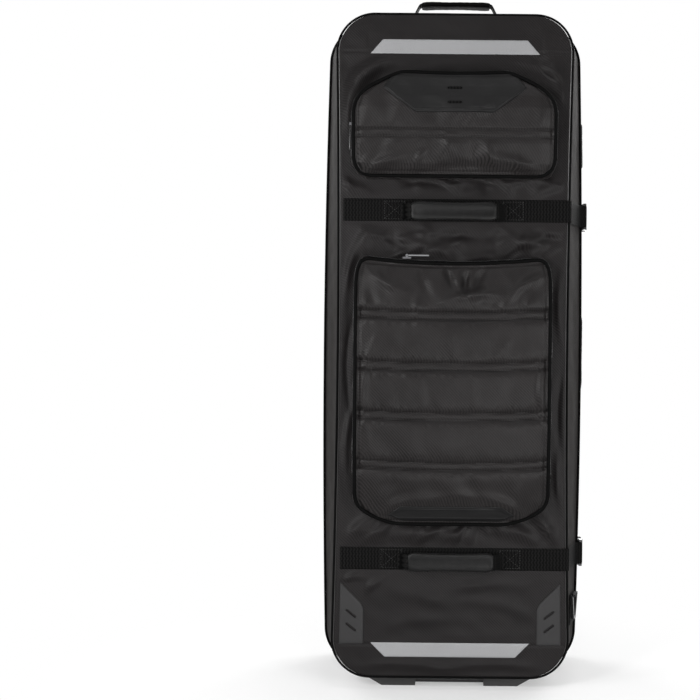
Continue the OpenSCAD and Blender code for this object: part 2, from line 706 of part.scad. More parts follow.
// ---- D-rings ----
ring_lift = ring_bar_r + 2.6;
ring_rod = 5;
loop_r = ring_bar_r + 1.8;
ring_tab_t = 1.8;
ring_tab_gap = 0.6;
module d_ring() {
    // hangs down -z from its bar along y at the origin
    top = ring_w / 2 - ring_rod / 2;
    low = ring_h - ring_rod;
    small = 7;
    thick = 2 * ring_bar_r - 0.2;
    color("#0f0f10") {
        rotate([90, 0, 0]) cylinder(r = ring_bar_r, h = 2 * top, center = true);
        along_x(-thick / 2) linear_extrude(thick) {
            for (s = [-1, 1]) {
                translate([s * top, 0]) circle(d = ring_rod);
                translate([s * small, -low]) circle(d = ring_rod);
                polygon(thick_path([[s * top, 0], [s * small, -low]], ring_rod));
            }
            translate([-small, -low - ring_rod / 2]) square([2 * small, ring_rod]);
        }
    }
}
module ring_loop(down) {
    // the sewn webbing loop round the bar, and the tab that runs up or down the wall from it
    loop_l = ring_w - 2 * ring_rod - 6;
    // the lower tab runs under the ring, and stays between its two sides
    plate_w = down ? ring_w - 2 * ring_rod - 1 : tab_w;
    color("#1a1a1b") translate([-ring_lift, 0, 0]) {
        difference() {
            union() {
                translate([ring_lift, 0, 0]) rotate([90, 0, 0]) cylinder(r = loop_r, h = loop_l, center = true);
                translate([ring_tab_gap, -loop_l / 2, down ? -1 : 0])
                    cube([ring_lift, loop_l, down ? loop_r + 1 : loop_r]);
                translate([ring_tab_gap, 0, down ? 3 - low_tab_l / 2 : tab_l / 2 + 3]) rotate([90, 0, 90])
                    linear_extrude(ring_tab_t) rounded(plate_w, down ? low_tab_l : tab_l + 4, 3);
            }
            translate([ring_lift, 0, 0]) rotate([90, 0, 0])
                cylinder(r = ring_bar_r + run_gap, h = 2 * loop_l, center = true);
        }
    }
}
ring_high_y = base_y + 58;
ring_low_y = seam_y - 27;
module at_ring_high() { on_side(ring_high_y, ring_high_z) translate([ring_lift, 0, 0]) children(); }
module at_ring_low() { on_side(ring_low_y, ring_low_z) translate([ring_lift, 0, 0]) children(); }
module d_ring_upper() { at_ring_high() d_ring(); }
module d_ring_lower() { at_ring_low() d_ring(); }
module d_ring_tab_upper() { at_ring_high() ring_loop(false); }
module d_ring_tab_lower() { at_ring_low() ring_loop(true); }

// ---- lock and main zip sliders ----
lock_y = base_y + 26;
lock_left = -lock_w / 2;
dial_out = dial_r + 0.8;
dial_side = lock_w / 2 - dial_r + 0.6;
dial_pitch = dial_w + 3;
dial_zs = [dial_pitch, 0, -dial_pitch];
dial_pin_r = 1.3;
slot_zs = [13, -5];
slot_h = 7;
pull_out = 6.2;
pull_t = 2;
button_w = 14;
button_h = 26;
button_t = 2;
button_travel = 2.5;
barrel_r = 4.4;
barrel_z = -lock_h / 2 + 9;
barrel_y = -2;
button_y = -4;
module at_lock() { on_side(lock_y, lock_z) children(); }
module lock_body() {
    recess = button_t + 0.4;
    color("#0c0c0d") at_lock() difference() {
        translate([seat_gap, 0, 0]) {
            along_x(0) linear_extrude(lock_t - 1.2) rounded(lock_w, lock_h, 8);
            along_x(lock_t - 1.2) linear_extrude(1.2) rounded(lock_w - 2.4, lock_h - 2.4, 6.8);
        }
        // slots for the tips of the two pulls
        for (z = slot_zs) translate([pull_out - pull_t / 2 - move_gap, lock_left - 1, z - slot_h / 2])
            cube([lock_t, 9.5, slot_h]);
        // windows for the dials, which leave the pin standing
        for (z = dial_zs) translate([dial_out, dial_side, z]) difference() {
            cube([4 * dial_r, 2 * dial_r + 1.4, dial_w + 2 * move_gap], center = true);
            cylinder(r = dial_pin_r, h = 2 * dial_w, center = true);
        }
        // shallow bed of the release button, and the bore of the key barrel
        translate([lock_t - recess, button_y - button_w / 2 - move_gap, -button_h / 2 - move_gap])
            cube([lock_t, button_w + button_travel + 2 * move_gap, button_h + 2 * move_gap]);
        translate([lock_t - 6, barrel_y, barrel_z]) rotate([0, 90, 0]) cylinder(r = barrel_r + run_gap, h = lock_t);
    }
}
module dial(z) {
    color("#3c3d40") at_lock() translate([dial_out, dial_side, z]) difference() {
        union() {
            cylinder(r = dial_r - 0.4, h = dial_w, center = true);
            for (k = [0:9]) rotate(36 * k) translate([dial_r - 0.5, 0, 0]) cylinder(r = 0.5, h = dial_w, center = true);
        }
        cylinder(r = dial_pin_r + run_gap, h = 2 * dial_w, center = true);
    }
}
module dial_upper() { dial(dial_zs[0]); }
module dial_middle() { dial(dial_zs[1]); }
module dial_lower() { dial(dial_zs[2]); }
module lock_button() {
    color("#1b1b1d") at_lock() translate([lock_t - button_t + 0.2, button_y - button_w / 2, -button_h / 2]) {
        cube([button_t, button_w, button_h]);
        for (k = [0:3]) translate([button_t, 3 + 2.6 * k, 4]) cube([0.5, 1.2, button_h - 8]);
    }
}
module key_barrel() {
    color("#5b5c60") at_lock() translate([lock_t - 5.8, barrel_y, barrel_z]) difference() {
        rotate([0, 90, 0]) cylinder(r = barrel_r, h = 5.6);
        translate([3.6, -0.5, -2.6]) cube([4, 1, 5.2]);
    }
}
// the sliders sit on the teeth at the parting line, with their pulls swung into the lock
slider_y = part_y - lock_y;
hinge_y = slider_y + 5;
module zip_slider(z) {
    pin_l = 8;
    lug_w = 1.6;
    translate([0, slider_y, z]) {
        translate([1.2 + teeth_out, -5, -8]) cube([1.6, 12, 16]);
        for (s = [-1, 1]) translate([2.4, 3, s * (pin_l / 2 + lug_w / 2) - lug_w / 2]) cube([6, 4, lug_w]);
        translate([pull_out, 5, 0]) cylinder(r = pull_pin_r, h = pin_l + 2 * lug_w, center = true);
    }
}
module zip_sliders() { color("#101011") at_lock() for (z = slot_zs) zip_slider(z); }
module zip_pull(z) {
    tip_y = lock_left + 7.5;
    eye = pull_pin_r + 1.2;
    color("#151516") at_lock() translate([pull_out, 0, z]) difference() {
        union() {
            translate([0, hinge_y, 0]) cylinder(r = eye, h = 8 - 2 * move_gap, center = true);
            along_x(-pull_t / 2) linear_extrude(pull_t) polygon([
                [hinge_y, -3.4], [hinge_y + 6, -3.8], [tip_y, -2.6], [tip_y, 2.6], [hinge_y + 6, 3.8],
                [hinge_y, 3.4]
            ]);
        }
        translate([0, hinge_y, 0]) cylinder(r = pull_pin_r + run_gap, h = 20, center = true);
    }
}
module zip_pull_upper() { zip_pull(slot_zs[0]); }
module zip_pull_lower() { zip_pull(slot_zs[1]); }

// ---- wheels ----
wheel_x = back_w / 2 - 13;
well_in = wheel_w / 2 + 3;
housing_in = wheel_x - well_in - 7;
housing_out = back_w / 2 + 3;
rim_r = wheel_r - 7;
spoke_r = rim_r - 3.5;
hub_r = bearing_r + 3;
spokes = 6;
module housing_profile(grow) {
    // seen from the side, x to the back: an arch round the wheel and a leg up behind the back panel
    back = back_y + housing_back + grow;
    difference() {
        union() {
            translate([wheel_y, wheel_r]) circle(arch_r + grow);
            translate([back_y + 3 * seat_gap - grow, wheel_r])
                square([housing_back - 3 * seat_gap + 2 * grow, housing_leg_z - wheel_r]);
            translate([back_y + 3 * seat_gap - grow, wheel_r])
                square([housing_back * 0.6 + grow, housing_top_z - wheel_r]);
        }
        translate([back, -wheel_r]) square([4 * wheel_r, 4 * housing_top_z]);
        translate([wheel_y - 2 * arch_r, low_z - grow - 4 * wheel_r]) square([4 * arch_r, 4 * wheel_r]);
        // the leg stays behind the back panel above the arch
        translate([back_y - 2 * arch_r, wheel_r + arch_r + grow]) square([2 * arch_r, housing_top_z]);
    }
}
module housing_cuts() {
    for (s = [-1, 1]) scale([s, 1, 1]) along_x(housing_in - seat_gap) linear_extrude(2 * arch_r) difference() {
        housing_profile(seat_gap);
        translate([back_y + 0.5, 0]) square([4 * wheel_r, 2 * housing_top_z]);
    }
}
lip_w = 5;
module housing() {
    difference() {
        union() {
            along_x(housing_in) linear_extrude(housing_out - housing_in) housing_profile(0);
            along_x(housing_out) linear_extrude(2) intersection() {
                housing_profile(0);
                translate([wheel_y, wheel_r]) circle(wheel_r + well_gap + lip_w);
            }
        }
        translate([wheel_x - well_in, wheel_y, wheel_r]) rotate([0, 90, 0])
            cylinder(r = wheel_r + well_gap, h = 2 * wheel_w);
        translate([housing_in + 1.5, wheel_y, wheel_r]) rotate([0, 90, 0]) cylinder(r = axle_r, h = 2 * wheel_w);
        for (z = housing_screw_zs) translate([wheel_x, back_y + housing_back + 1, z]) rotate([90, 0, 0])
            cylinder(r = screw_r + 0.2, h = 4);
    }
    // the collar that keeps the wheel off the inner wall
    translate([wheel_x - well_in, wheel_y, wheel_r]) rotate([0, 90, 0]) difference() {
        cylinder(r = axle_r + 2.5, h = 2.4);
        translate([0, 0, -1]) cylinder(r = axle_r, h = 5);
    }
}
module wheel_housing_right() { color("#1f1f21") housing(); }
module wheel_housing_left() { color("#1f1f21") mirror([1, 0, 0]) housing(); }
screw_r = 3.6;
housing_screw_zs = [housing_leg_z - 12, housing_leg_z - 12 - 0.55 * (housing_leg_z - wheel_r - arch_r)];
module screw_head(r, h) {
    difference() {
        cylinder(r = r, h = h);
        translate([0, 0, h - 1]) linear_extrude(2) for (a = [0, 90]) rotate(a) square([r * 1.2, 0.9], center = true);
    }
}
module housing_screws() {
    color("#4a4b4e") for (s = [-1, 1], z = housing_screw_zs)
        translate([s * wheel_x, back_y + housing_back - 3, z]) rotate([-90, 0, 0]) screw_head(screw_r, 2.4);
}
module wheel_axles() {
    head = 2.6;
    color("#77797d") for (s = [-1, 1]) scale([s, 1, 1])
        translate([housing_in + 1.5, wheel_y, wheel_r]) rotate([0, 90, 0]) {
            cylinder(r = axle_r, h = wheel_x + wheel_w / 2 + move_gap - housing_in - 1.5);
            translate([0, 0, wheel_x + wheel_w / 2 + move_gap - housing_in - 1.5]) screw_head(axle_r + 3, head);
        }
}
module at_wheel(s) { translate([s * wheel_x, wheel_y, wheel_r]) rotate([0, s * 90, 0]) children(); }
module tyre() {
    // a solid tyre with round shoulders
    shoulder = 4;
    inset = shoulder * (1 - cos(45));
    color("#121213") rotate_extrude() polygon([
        [rim_r, -wheel_w / 2 + 1], [wheel_r - shoulder, -wheel_w / 2], [wheel_r - inset, -wheel_w / 2 + inset],
        [wheel_r, -wheel_w / 2 + shoulder], [wheel_r, wheel_w / 2 - shoulder],
        [wheel_r - inset, wheel_w / 2 - inset], [wheel_r - shoulder, wheel_w / 2], [rim_r, wheel_w / 2 - 1]
    ]);
}
module hub() {
    spoke_w = 6;
    rim_w = wheel_w - 4;
    web = 5;
    color("#232326") difference() {
        union() {
            difference() {
                cylinder(r = rim_r, h = rim_w, center = true);
                cylinder(r = spoke_r, h = 2 * rim_w, center = true);
            }
            cylinder(r = hub_r, h = wheel_w - 1, center = true);
            for (k = [0:spokes - 1]) rotate(360 * k / spokes) {
                translate([hub_r - 2, -spoke_w / 2, -web]) cube([spoke_r - hub_r + 4, spoke_w, 2 * web]);
                translate([spoke_r - 2.5, -spoke_w, -web]) cube([4, 2 * spoke_w, 2 * web]);
            }
        }
        cylinder(r = axle_r + 1, h = 2 * wheel_w, center = true);
        for (s = [-1, 1]) translate([0, 0, s * (wheel_w / 2 - 0.5 - bearing_w / 2)])
            cylinder(r = bearing_r, h = bearing_w + 0.02, center = true);
    }
}
module bearings() {
    color("#9a9ca1") for (s = [-1, 1]) translate([0, 0, s * (wheel_w / 2 - 0.5 - bearing_w / 2)]) difference() {
        cylinder(r = bearing_r, h = bearing_w, center = true);
        cylinder(r = axle_r + run_gap, h = 2 * bearing_w, center = true);
        for (t = [-1, 1]) translate([0, 0, t * (bearing_w / 2)]) difference() {
            cylinder(r = bearing_r - 1.2, h = 0.8, center = true);
            cylinder(r = axle_r + 1.2, h = 1, center = true);
        }
    }
}
module wheel_hub_left() { at_wheel(-1) hub(); }
module wheel_hub_right() { at_wheel(1) hub(); }
module wheel_tyre_left() { at_wheel(-1) tyre(); }
module wheel_tyre_right() { at_wheel(1) tyre(); }
module wheel_bearings_left() { at_wheel(-1) bearings(); }
module wheel_bearings_right() { at_wheel(1) bearings(); }

// ---- feet ----
foot_y = front_y + 0.6 * lid_d;
foot_taper = 38;
foot_bar_z = foot_bar_r + 3;
foot_screw_r = 3.8;
foot_screw_xs = [foot_bar_l / 2 + 14, foot_w / 2 - foot_taper - 8];
module front_foot() {
    top = low_z - seat_gap;
    color("#1f1f21") difference() {
        union() {
            for (s = [-1, 1]) translate([0, foot_y + foot_d / 2, 0]) rotate([90, 0, 0]) linear_extrude(foot_d)
                polygon([
                    [s * foot_bar_l / 2, 0], [s * (foot_w / 2 - foot_taper), 0], [s * (foot_w / 2 - 3), top - 5],
                    [s * foot_w / 2, top], [s * foot_bar_l / 2, top]
                ]);
            translate([-foot_bar_l / 2 - 3, foot_y, foot_bar_z]) rotate([0, 90, 0])
                cylinder(r = foot_bar_r, h = foot_bar_l + 6);
        }
        for (s = [-1, 1], x = foot_screw_xs) translate([s * x, foot_y, -1]) {
            cylinder(r = foot_screw_r + 0.2, h = 5);
            cylinder(r = 2, h = 2 * low_z);
        }
    }
}
module foot_screws() {
    color("#4a4b4e") for (s = [-1, 1], x = foot_screw_xs) translate([s * x, foot_y, 0]) {
        translate([0, 0, 4]) rotate([180, 0, 0]) screw_head(foot_screw_r, 2.6);
        translate([0, 0, 3.9]) cylinder(r = 2, h = low_z - seat_gap - 4);
    }
}
side_foot_y = base_y + 60;
side_foot_zs = [999, 649, 122];
module side_foot() {
    ribs = 8;
    pitch = side_foot_l / ribs;
    slant = 5;
    plate_t = side_foot_h * 0.35;
    along_x(seat_gap) linear_extrude(plate_t) rounded(side_foot_w, side_foot_l, 6);
    along_x(seat_gap + plate_t) linear_extrude(side_foot_h - plate_t)
        for (k = [0:ribs - 1]) translate([0, (k + 0.5) * pitch - side_foot_l / 2]) polygon([
            [-side_foot_w / 2 + 4, -pitch * 0.25 - slant / 2], [side_foot_w / 2 - 4, -pitch * 0.25 + slant / 2],
            [side_foot_w / 2 - 4, pitch * 0.25 + slant / 2], [-side_foot_w / 2 + 4, pitch * 0.25 - slant / 2]
        ]);
}
module side_feet() {
    color("#2b2b2e") mirror([1, 0, 0]) for (z = side_foot_zs) on_side(side_foot_y, z) side_foot();
}
stud_z = 126;
module side_stud() {
    // a small round vent stud with three holes
    color("#0f0f10") on_side(base_y + 73, stud_z) along_x(seat_gap) linear_extrude(2) difference() {
        circle(6);
        for (a = [90, 210, 330]) rotate(a) translate([2.6, 0]) circle(1);
    }
}

base_gusset();
back_panel();
back_board();
base_lining();
base_piping();
zip_base();
back_pad();
wheel_housing_left();
wheel_housing_right();
housing_screws();
wheel_axles();
side_feet();
base_straps();
buckle_plugs();
lock_body();
zip_sliders();
handle_tabs();
d_ring_tab_upper();
side_stud();
front_panel();
lid_gusset();
lid_lining();
lid_piping();
zip_lid();
lid_straps();
buckle_sockets();
small_pocket();
big_pocket();
pocket_patches();
pocket_sliders();
corner_guards();
reflective_strips();
d_ring_tab_lower();
front_foot();
foot_screws();
wheel_hub_left();
wheel_hub_right();
wheel_tyre_left();
wheel_tyre_right();
wheel_bearings_left();
wheel_bearings_right();
d_ring_upper();
d_ring_lower();
buckle_arm_upper_a();
buckle_arm_upper_b();
buckle_arm_lower_a();
buckle_arm_lower_b();
zip_pull_upper();
zip_pull_lower();
dial_upper();
dial_middle();
dial_lower();
lock_button();
key_barrel();
small_pocket_pull();
big_pocket_pull();
side_grip();
top_grip();
front_grip_upper();
front_grip_lower();
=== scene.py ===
import math
import bmesh
import bpy
import numpy as np
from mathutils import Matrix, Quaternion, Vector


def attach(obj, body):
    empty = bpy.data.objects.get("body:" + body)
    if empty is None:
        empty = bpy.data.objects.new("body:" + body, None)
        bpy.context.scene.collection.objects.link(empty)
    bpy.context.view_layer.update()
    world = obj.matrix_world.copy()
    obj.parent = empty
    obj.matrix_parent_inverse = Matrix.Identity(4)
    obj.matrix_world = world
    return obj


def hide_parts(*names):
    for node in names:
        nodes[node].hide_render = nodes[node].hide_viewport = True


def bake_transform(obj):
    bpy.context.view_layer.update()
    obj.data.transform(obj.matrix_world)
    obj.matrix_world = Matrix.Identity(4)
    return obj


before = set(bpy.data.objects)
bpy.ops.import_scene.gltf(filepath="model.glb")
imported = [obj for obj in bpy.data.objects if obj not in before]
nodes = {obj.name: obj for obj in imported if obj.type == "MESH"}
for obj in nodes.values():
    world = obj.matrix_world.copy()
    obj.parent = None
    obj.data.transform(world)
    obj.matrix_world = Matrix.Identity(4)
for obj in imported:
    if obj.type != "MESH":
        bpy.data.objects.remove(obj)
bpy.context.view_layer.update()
mm = 0.001
alongX, alongY, alongZ = np.eye(3)
sharpAngle = math.radians(50)  # edges steeper than this stay sharp

# the fabric body in millimetres; depths run from the front panel to the back
body = {"frontY": -109.5, "seamY": -26.5, "partY": -8.0, "baseY": 1.0, "backY": 123.5,
        "midZ": 587.0, "height": 1124.0, "corner": 64.0, "wall": 5.0, "panel": 6.0,
        "frontHalf": 199.0, "seamHalf": 215.0, "backHalf": 213.0, "draw": -8.0, "bulge": 8.0}
highZ = body["midZ"] + body["height"] / 2
frontY, seamY, partY, baseY, backY = (body[k] for k in ("frontY", "seamY", "partY", "baseY", "backY"))
depthsY = [frontY, seamY, backY]


# ---- shape of the body ----
def halfWidth(y):
    return np.interp(y, depthsY, [body["frontHalf"], body["seamHalf"], body["backHalf"]])


def bulgeAt(y):
    return np.interp(y, depthsY, [body["draw"], body["bulge"], body["bulge"]])


def swell(z):  # 1 at mid height and 0 at the top and bottom
    return np.maximum(0, 1 - (2 * (z - body["midZ"]) / body["height"]) ** 2)


def wallX(y, z):
    return halfWidth(y) + bulgeAt(y) * swell(z)


def pushOut(x, y, z):  # the side walls bulge, the top and bottom stay
    return x + np.clip(x / 50, -1, 1) * bulgeAt(y) * swell(z)


def sideAngles(y, z):  # how the right wall leans and turns at a point
    lean = np.arctan((wallX(y, z + 20) - wallX(y, z - 20)) / 40)
    return lean, -np.arctan((wallX(y + 4, z) - wallX(y - 4, z)) / 8)


def sidePoint(y, z, local):
    # a point given as out of the wall, backwards and upwards, turned about Z and then about Y
    lean, turn = sideAngles(y, z)
    out, back, up = np.moveaxis(np.asarray(local, float), -1, 0)
    a = out * math.cos(turn) - back * math.sin(turn)
    b = out * math.sin(turn) + back * math.cos(turn)
    return np.stack([a * math.cos(lean) + up * math.sin(lean) + wallX(y, z), b + y,
                     up * math.cos(lean) - a * math.sin(lean) + z], -1)


def sideLocal(y, z, point):
    lean, turn = sideAngles(y, z)
    x, b, h = point[0] - wallX(y, z), point[1] - y, point[2] - z
    a, up = x * math.cos(lean) - h * math.sin(lean), x * math.sin(lean) + h * math.cos(lean)
    return np.array([a * math.cos(turn) + b * math.sin(turn), b * math.cos(turn) - a * math.sin(turn), up])


def ringPoints(y, grow, count=640):
    # even steps round a rounded rectangle: a share of the way to the corner centres, then the corner
    # radius in the direction of an angle; rows of depths y and offsets grow
    cx, cz, r = body["seamHalf"] - body["corner"], body["height"] / 2 - body["corner"], body["corner"]
    lengths = np.array([2 * cz, r * math.pi / 2, 2 * cx, r * math.pi / 2] * 2)
    knots = np.concatenate([[0], np.cumsum(lengths)])
    s = np.linspace(0, knots[-1], count, endpoint=False)
    shareX = np.interp(s, knots, [1, 1, 1, -1, -1, -1, -1, 1, 1])
    shareZ = np.interp(s, knots, [-1, 1, 1, 1, 1, -1, -1, -1, -1])
    angle = np.interp(s, knots, np.radians([0, 0, 90, 90, 180, 180, 270, 270, 360]))
    y, grow = np.broadcast_arrays(*[np.asarray(v, float) for v in (y, grow)])
    if y.ndim < 2:
        y, grow = np.atleast_1d(y)[:, None], np.atleast_1d(grow)[:, None]
    r = body["corner"] + grow
    x = shareX * (halfWidth(y) + grow - r) + r * np.cos(angle)
    z = body["midZ"] + shareZ * (body["height"] / 2 + grow - r) + r * np.sin(angle)
    return np.stack([pushOut(x, y, z), y + 0 * x, z], -1), s


def roundedGrid(halfX, halfZ, r, rows, cols):
    # a grid over a rounded rectangle: heights bunch in the corners, each row runs from edge to edge
    corner = np.sin(np.linspace(0, math.pi / 2, max(4, rows // 8)))[:-1]
    z = np.concatenate([-halfZ + r * (1 - np.sqrt(1 - corner ** 2)), np.linspace(r - halfZ, halfZ - r, rows),
                        (halfZ - r * (1 - np.sqrt(1 - corner ** 2)))[::-1]])
    over = np.maximum(0, np.abs(z) - (halfZ - r))
    edge = halfX - r + np.sqrt(np.maximum(0, r * r - over * over))
    t = np.linspace(-1, 1, cols)
    return edge[:, None] * (t * (1.25 - 0.25 * t * t)), z[:, None] + 0 * t


def edgeGap(x, z, halfX, halfZ, r):  # distance in from the edge of a rounded rectangle
    qx, qz = np.abs(x) - (halfX - r), np.abs(z) - (halfZ - r)
    return r - np.hypot(np.maximum(qx, 0), np.maximum(qz, 0)) - np.minimum(np.maximum(qx, qz), 0)


def panelGrid(y, grow, rows=260, cols=110):
    half = float(halfWidth(y)) + grow
    x, z = roundedGrid(half, body["height"] / 2 + grow, body["corner"] + grow, rows, cols)
    gap = edgeGap(x, z, half, body["height"] / 2 + grow, body["corner"] + grow)
    z = z + body["midZ"]
    share = x / np.abs(x).max(axis=1, keepdims=True)
    return np.stack([x + share * bulgeAt(y) * swell(z), y + 0 * x, z], -1), gap


# ---- folds ----
def softWaves(u, v, seed, wave, many=8):
    # sum of plane waves that run every way, about one length, with heights of about -1 to 1
    rng = np.random.default_rng(seed)
    total = 0.0
    for k in range(many):
        a, p, f = rng.uniform(0, 2 * math.pi), rng.uniform(0, 2 * math.pi), 2 * math.pi / (wave * rng.uniform(0.7, 1.5))
        total = total + np.sin(f * (u * math.cos(a) + v * math.sin(a)) + p)
    return total / (1.5 * math.sqrt(many))


def creases(u, v, rows):
    # each row is a place, an angle, a length, a width and a height: a bent fold that fades at its ends
    total = np.zeros(np.broadcast(u, v).shape)
    for u0, v0, turn, length, width, height in rows:
        a = math.radians(turn)
        along = (u - u0) * math.cos(a) + (v - v0) * math.sin(a)
        off = (v - v0) * math.cos(a) - (u - u0) * math.sin(a) + 0.12 * along ** 2 / length
        total += height * np.exp(-(off / width) ** 2 - (along / length) ** 2)
    return total


def scatter(seed, count, uSpan, vSpan, turn, spread, length, width, height):
    rng = np.random.default_rng(seed)
    return [(rng.uniform(*uSpan), rng.uniform(*vSpan), turn + rng.uniform(-spread, spread),
             length * rng.uniform(0.6, 1.3), width * rng.uniform(0.7, 1.3),
             height * rng.uniform(0.5, 1.2) * (1 if rng.random() < 0.6 else -1)) for k in range(count)]


# ---- meshes ----
def gridQuads(rows, cols, wrapRows=False, wrapCols=False, start=0):
    a, b = np.meshgrid(np.arange(rows if wrapRows else rows - 1), np.arange(cols if wrapCols else cols - 1),
                       indexing="ij")
    c, d = (a + 1) % rows, (b + 1) % cols
    return start + np.stack([a * cols + b, a * cols + d, c * cols + d, c * cols + b], -1).reshape(-1, 4)


def borderOf(rows, cols):
    i, j = np.arange(rows), np.arange(cols)
    return np.concatenate([j, i[1:] * cols + cols - 1, (rows - 1) * cols + j[-2::-1], i[-2:0:-1] * cols])


def walled(front, rings, back=None):
    # a closed solid: a front grid, rings from its edge to the edge of the back grid, and the back grid;
    # without a back grid a fan closes the last ring
    rows, cols = front.shape[:2]
    count, edge = rows * cols, borderOf(rows, cols)
    if back is None:
        grids, faces, last = [front], [gridQuads(rows, cols)[:, ::-1]], []
        rings = [*rings, np.repeat(rings[-1].mean(0)[None], len(edge), 0)]
    else:
        grids, last = [front, back], [edge + count]
        faces = [gridQuads(rows, cols)[:, ::-1], gridQuads(rows, cols, start=count)]
    start = len(grids) * count
    steps = [edge] + [start + k * len(edge) + np.arange(len(edge)) for k in range(len(rings))] + last
    sides = [np.stack([a, np.roll(a, -1), np.roll(b, -1), b], -1) for a, b in zip(steps, steps[1:])]
    return np.concatenate([g.reshape(-1, 3) for g in grids] + rings), np.concatenate(faces + sides)


def edgeLoop(grid):
    return grid.reshape(-1, 3)[borderOf(*grid.shape[:2])]


def hoop(rows):  # rings joined into a closed band, the last to the first
    return rows.reshape(-1, 3), gridQuads(rows.shape[0], rows.shape[1], wrapRows=True, wrapCols=True)


def unit(v):
    return v / np.maximum(np.linalg.norm(v, axis=-1, keepdims=True), 1e-9)


def shut(rows):  # a run of rings with a point at the middle of both ends
    ends = [np.repeat(r.mean(0)[None, None], rows.shape[1], 1) for r in (rows[0], rows[-1])]
    return np.concatenate([ends[0], rows, ends[1]])


def reachOf(path):  # the length of a path up to each of its points
    return np.concatenate([[0], np.cumsum(np.linalg.norm(np.diff(path, axis=0), axis=1))])


def pointsAt(path, reach, s):
    return np.stack([np.interp(s, reach, column) for column in path.T], -1)


def sweep(path, section, across, closed=False, size=1.0):
    # carries a closed section along a path: its first number along across, its second square to both
    path = np.asarray(path, float)
    ahead = unit(np.roll(path, -1, 0) - np.roll(path, 1, 0)) if closed else unit(np.gradient(path, axis=0))
    across = unit(across - ahead * np.sum(across * ahead, -1, keepdims=True))
    up = np.cross(across, ahead)
    size = np.broadcast_to(np.asarray(size, float), (len(path),))[:, None, None]
    rows = path[:, None] + size * (section[None, :, :1] * across[:, None] + section[None, :, 1:] * up[:, None])
    rows = rows if closed else shut(rows)
    return rows.reshape(-1, 3), gridQuads(len(rows), len(section), wrapRows=closed, wrapCols=True)


def roundSection(r, sides=10):
    a = np.linspace(0, 2 * math.pi, sides, endpoint=False)
    return r * np.stack([np.cos(a), np.sin(a)], -1)


def flatSection(width, thick, cols=12, power=8):  # a band with a nearly flat top and round edges
    c = np.sin(np.linspace(-math.pi / 2, math.pi / 2, cols))
    h = thick / 2 * (1 - np.abs(c) ** power) ** 0.5 + 0.02
    return np.concatenate([np.stack([c * width / 2, h], -1), np.stack([c[::-1] * width / 2, -h[::-1]], -1)])


def padSection(width, thick, sides=40, power=0.5):  # a rounded box as a superellipse
    a = np.linspace(0, 2 * math.pi, sides, endpoint=False)
    c, s = np.cos(a), np.sin(a)
    return np.stack([np.sign(c) * np.abs(c) ** power * width / 2, np.sign(s) * np.abs(s) ** power * thick / 2], -1)


def evenPath(points, step, soft=0.0, closed=False):
    # the polyline at even steps, its corners rounded by a running mean over a length of soft
    points = np.asarray(points, float)
    if closed:
        points = np.concatenate([points, points[:1]])
    reach = reachOf(points)
    count = max(4, int(round(reach[-1] / step)) + 1)
    path = pointsAt(points, reach, np.linspace(0, reach[-1], count))
    width = int(soft / step)
    if width > 1 and not closed:
        pad = np.concatenate([2 * path[0] - path[width:0:-1], path, 2 * path[-1] - path[-2:-width - 2:-1]])
        core = np.hanning(2 * width + 3)[1:-1]
        path = np.stack([np.convolve(pad[:, k], core / core.sum(), "valid")[:count] for k in range(path.shape[1])], -1)
    return path[:-1] if closed else path


def stitchRow(path, lift, pitch=4.2, length=3.0, thick=0.45):
    # short thread grains, pointed at both ends, spaced along a path and standing off along lift
    path = np.asarray(path, float)
    reach = reachOf(path)
    s = np.arange(pitch / 2, reach[-1] - length / 2, pitch)
    mid, before, after = (pointsAt(path, reach, s + step) for step in (0, -0.5, 0.5))
    ahead = unit(after - before)
    lift = np.broadcast_to(np.asarray(lift, float), mid.shape)
    side = unit(np.cross(ahead, lift))
    six = np.stack([mid - ahead * length / 2, mid + side * thick, mid + lift * thick * 1.2, mid - side * thick,
                    mid - lift * thick, mid + ahead * length / 2], 1)
    pattern = np.array([[0, 1, 2, 0], [0, 2, 3, 0], [0, 3, 4, 0], [0, 4, 1, 0],
                        [5, 2, 1, 5], [5, 3, 2, 5], [5, 4, 3, 5], [5, 1, 4, 5]])
    return six.reshape(-1, 3), (pattern[None] + 6 * np.arange(len(mid))[:, None, None]).reshape(-1, 4)


def outwardOf(path, across, middle):  # square to the path and to across, pointing away from a middle point
    out = unit(np.cross(unit(np.gradient(path, axis=0)), across))
    return out * np.sign(np.sum(out * (path - middle), -1, keepdims=True))


def teethRow(path, across, middle, pitch, size, lift=0.0):
    # small blocks across a path: size is along the path, across it and outwards
    path = evenPath(path, pitch)
    ahead, out = unit(np.gradient(path, axis=0)), outwardOf(path, across, middle)
    path = path + out * lift
    signs = np.array([[a, b, c] for a in (-1, 1) for b in (-1, 1) for c in (-1, 1)]) * np.asarray(size) / 2
    shrink = np.where(signs[:, 2:] > 0, 0.75, 1.0)
    cube = (path[:, None] + (signs[:, :1] * shrink)[None] * ahead[:, None] + (signs[:, 1:2] * shrink)[None] * across
            + signs[None, :, 2:] * out[:, None])
    pattern = np.array([[0, 1, 3, 2], [4, 6, 7, 5], [0, 4, 5, 1], [2, 3, 7, 6], [0, 2, 6, 4], [1, 5, 7, 3]])
    return cube.reshape(-1, 3), (pattern[None] + 8 * np.arange(len(path))[:, None, None]).reshape(-1, 4)


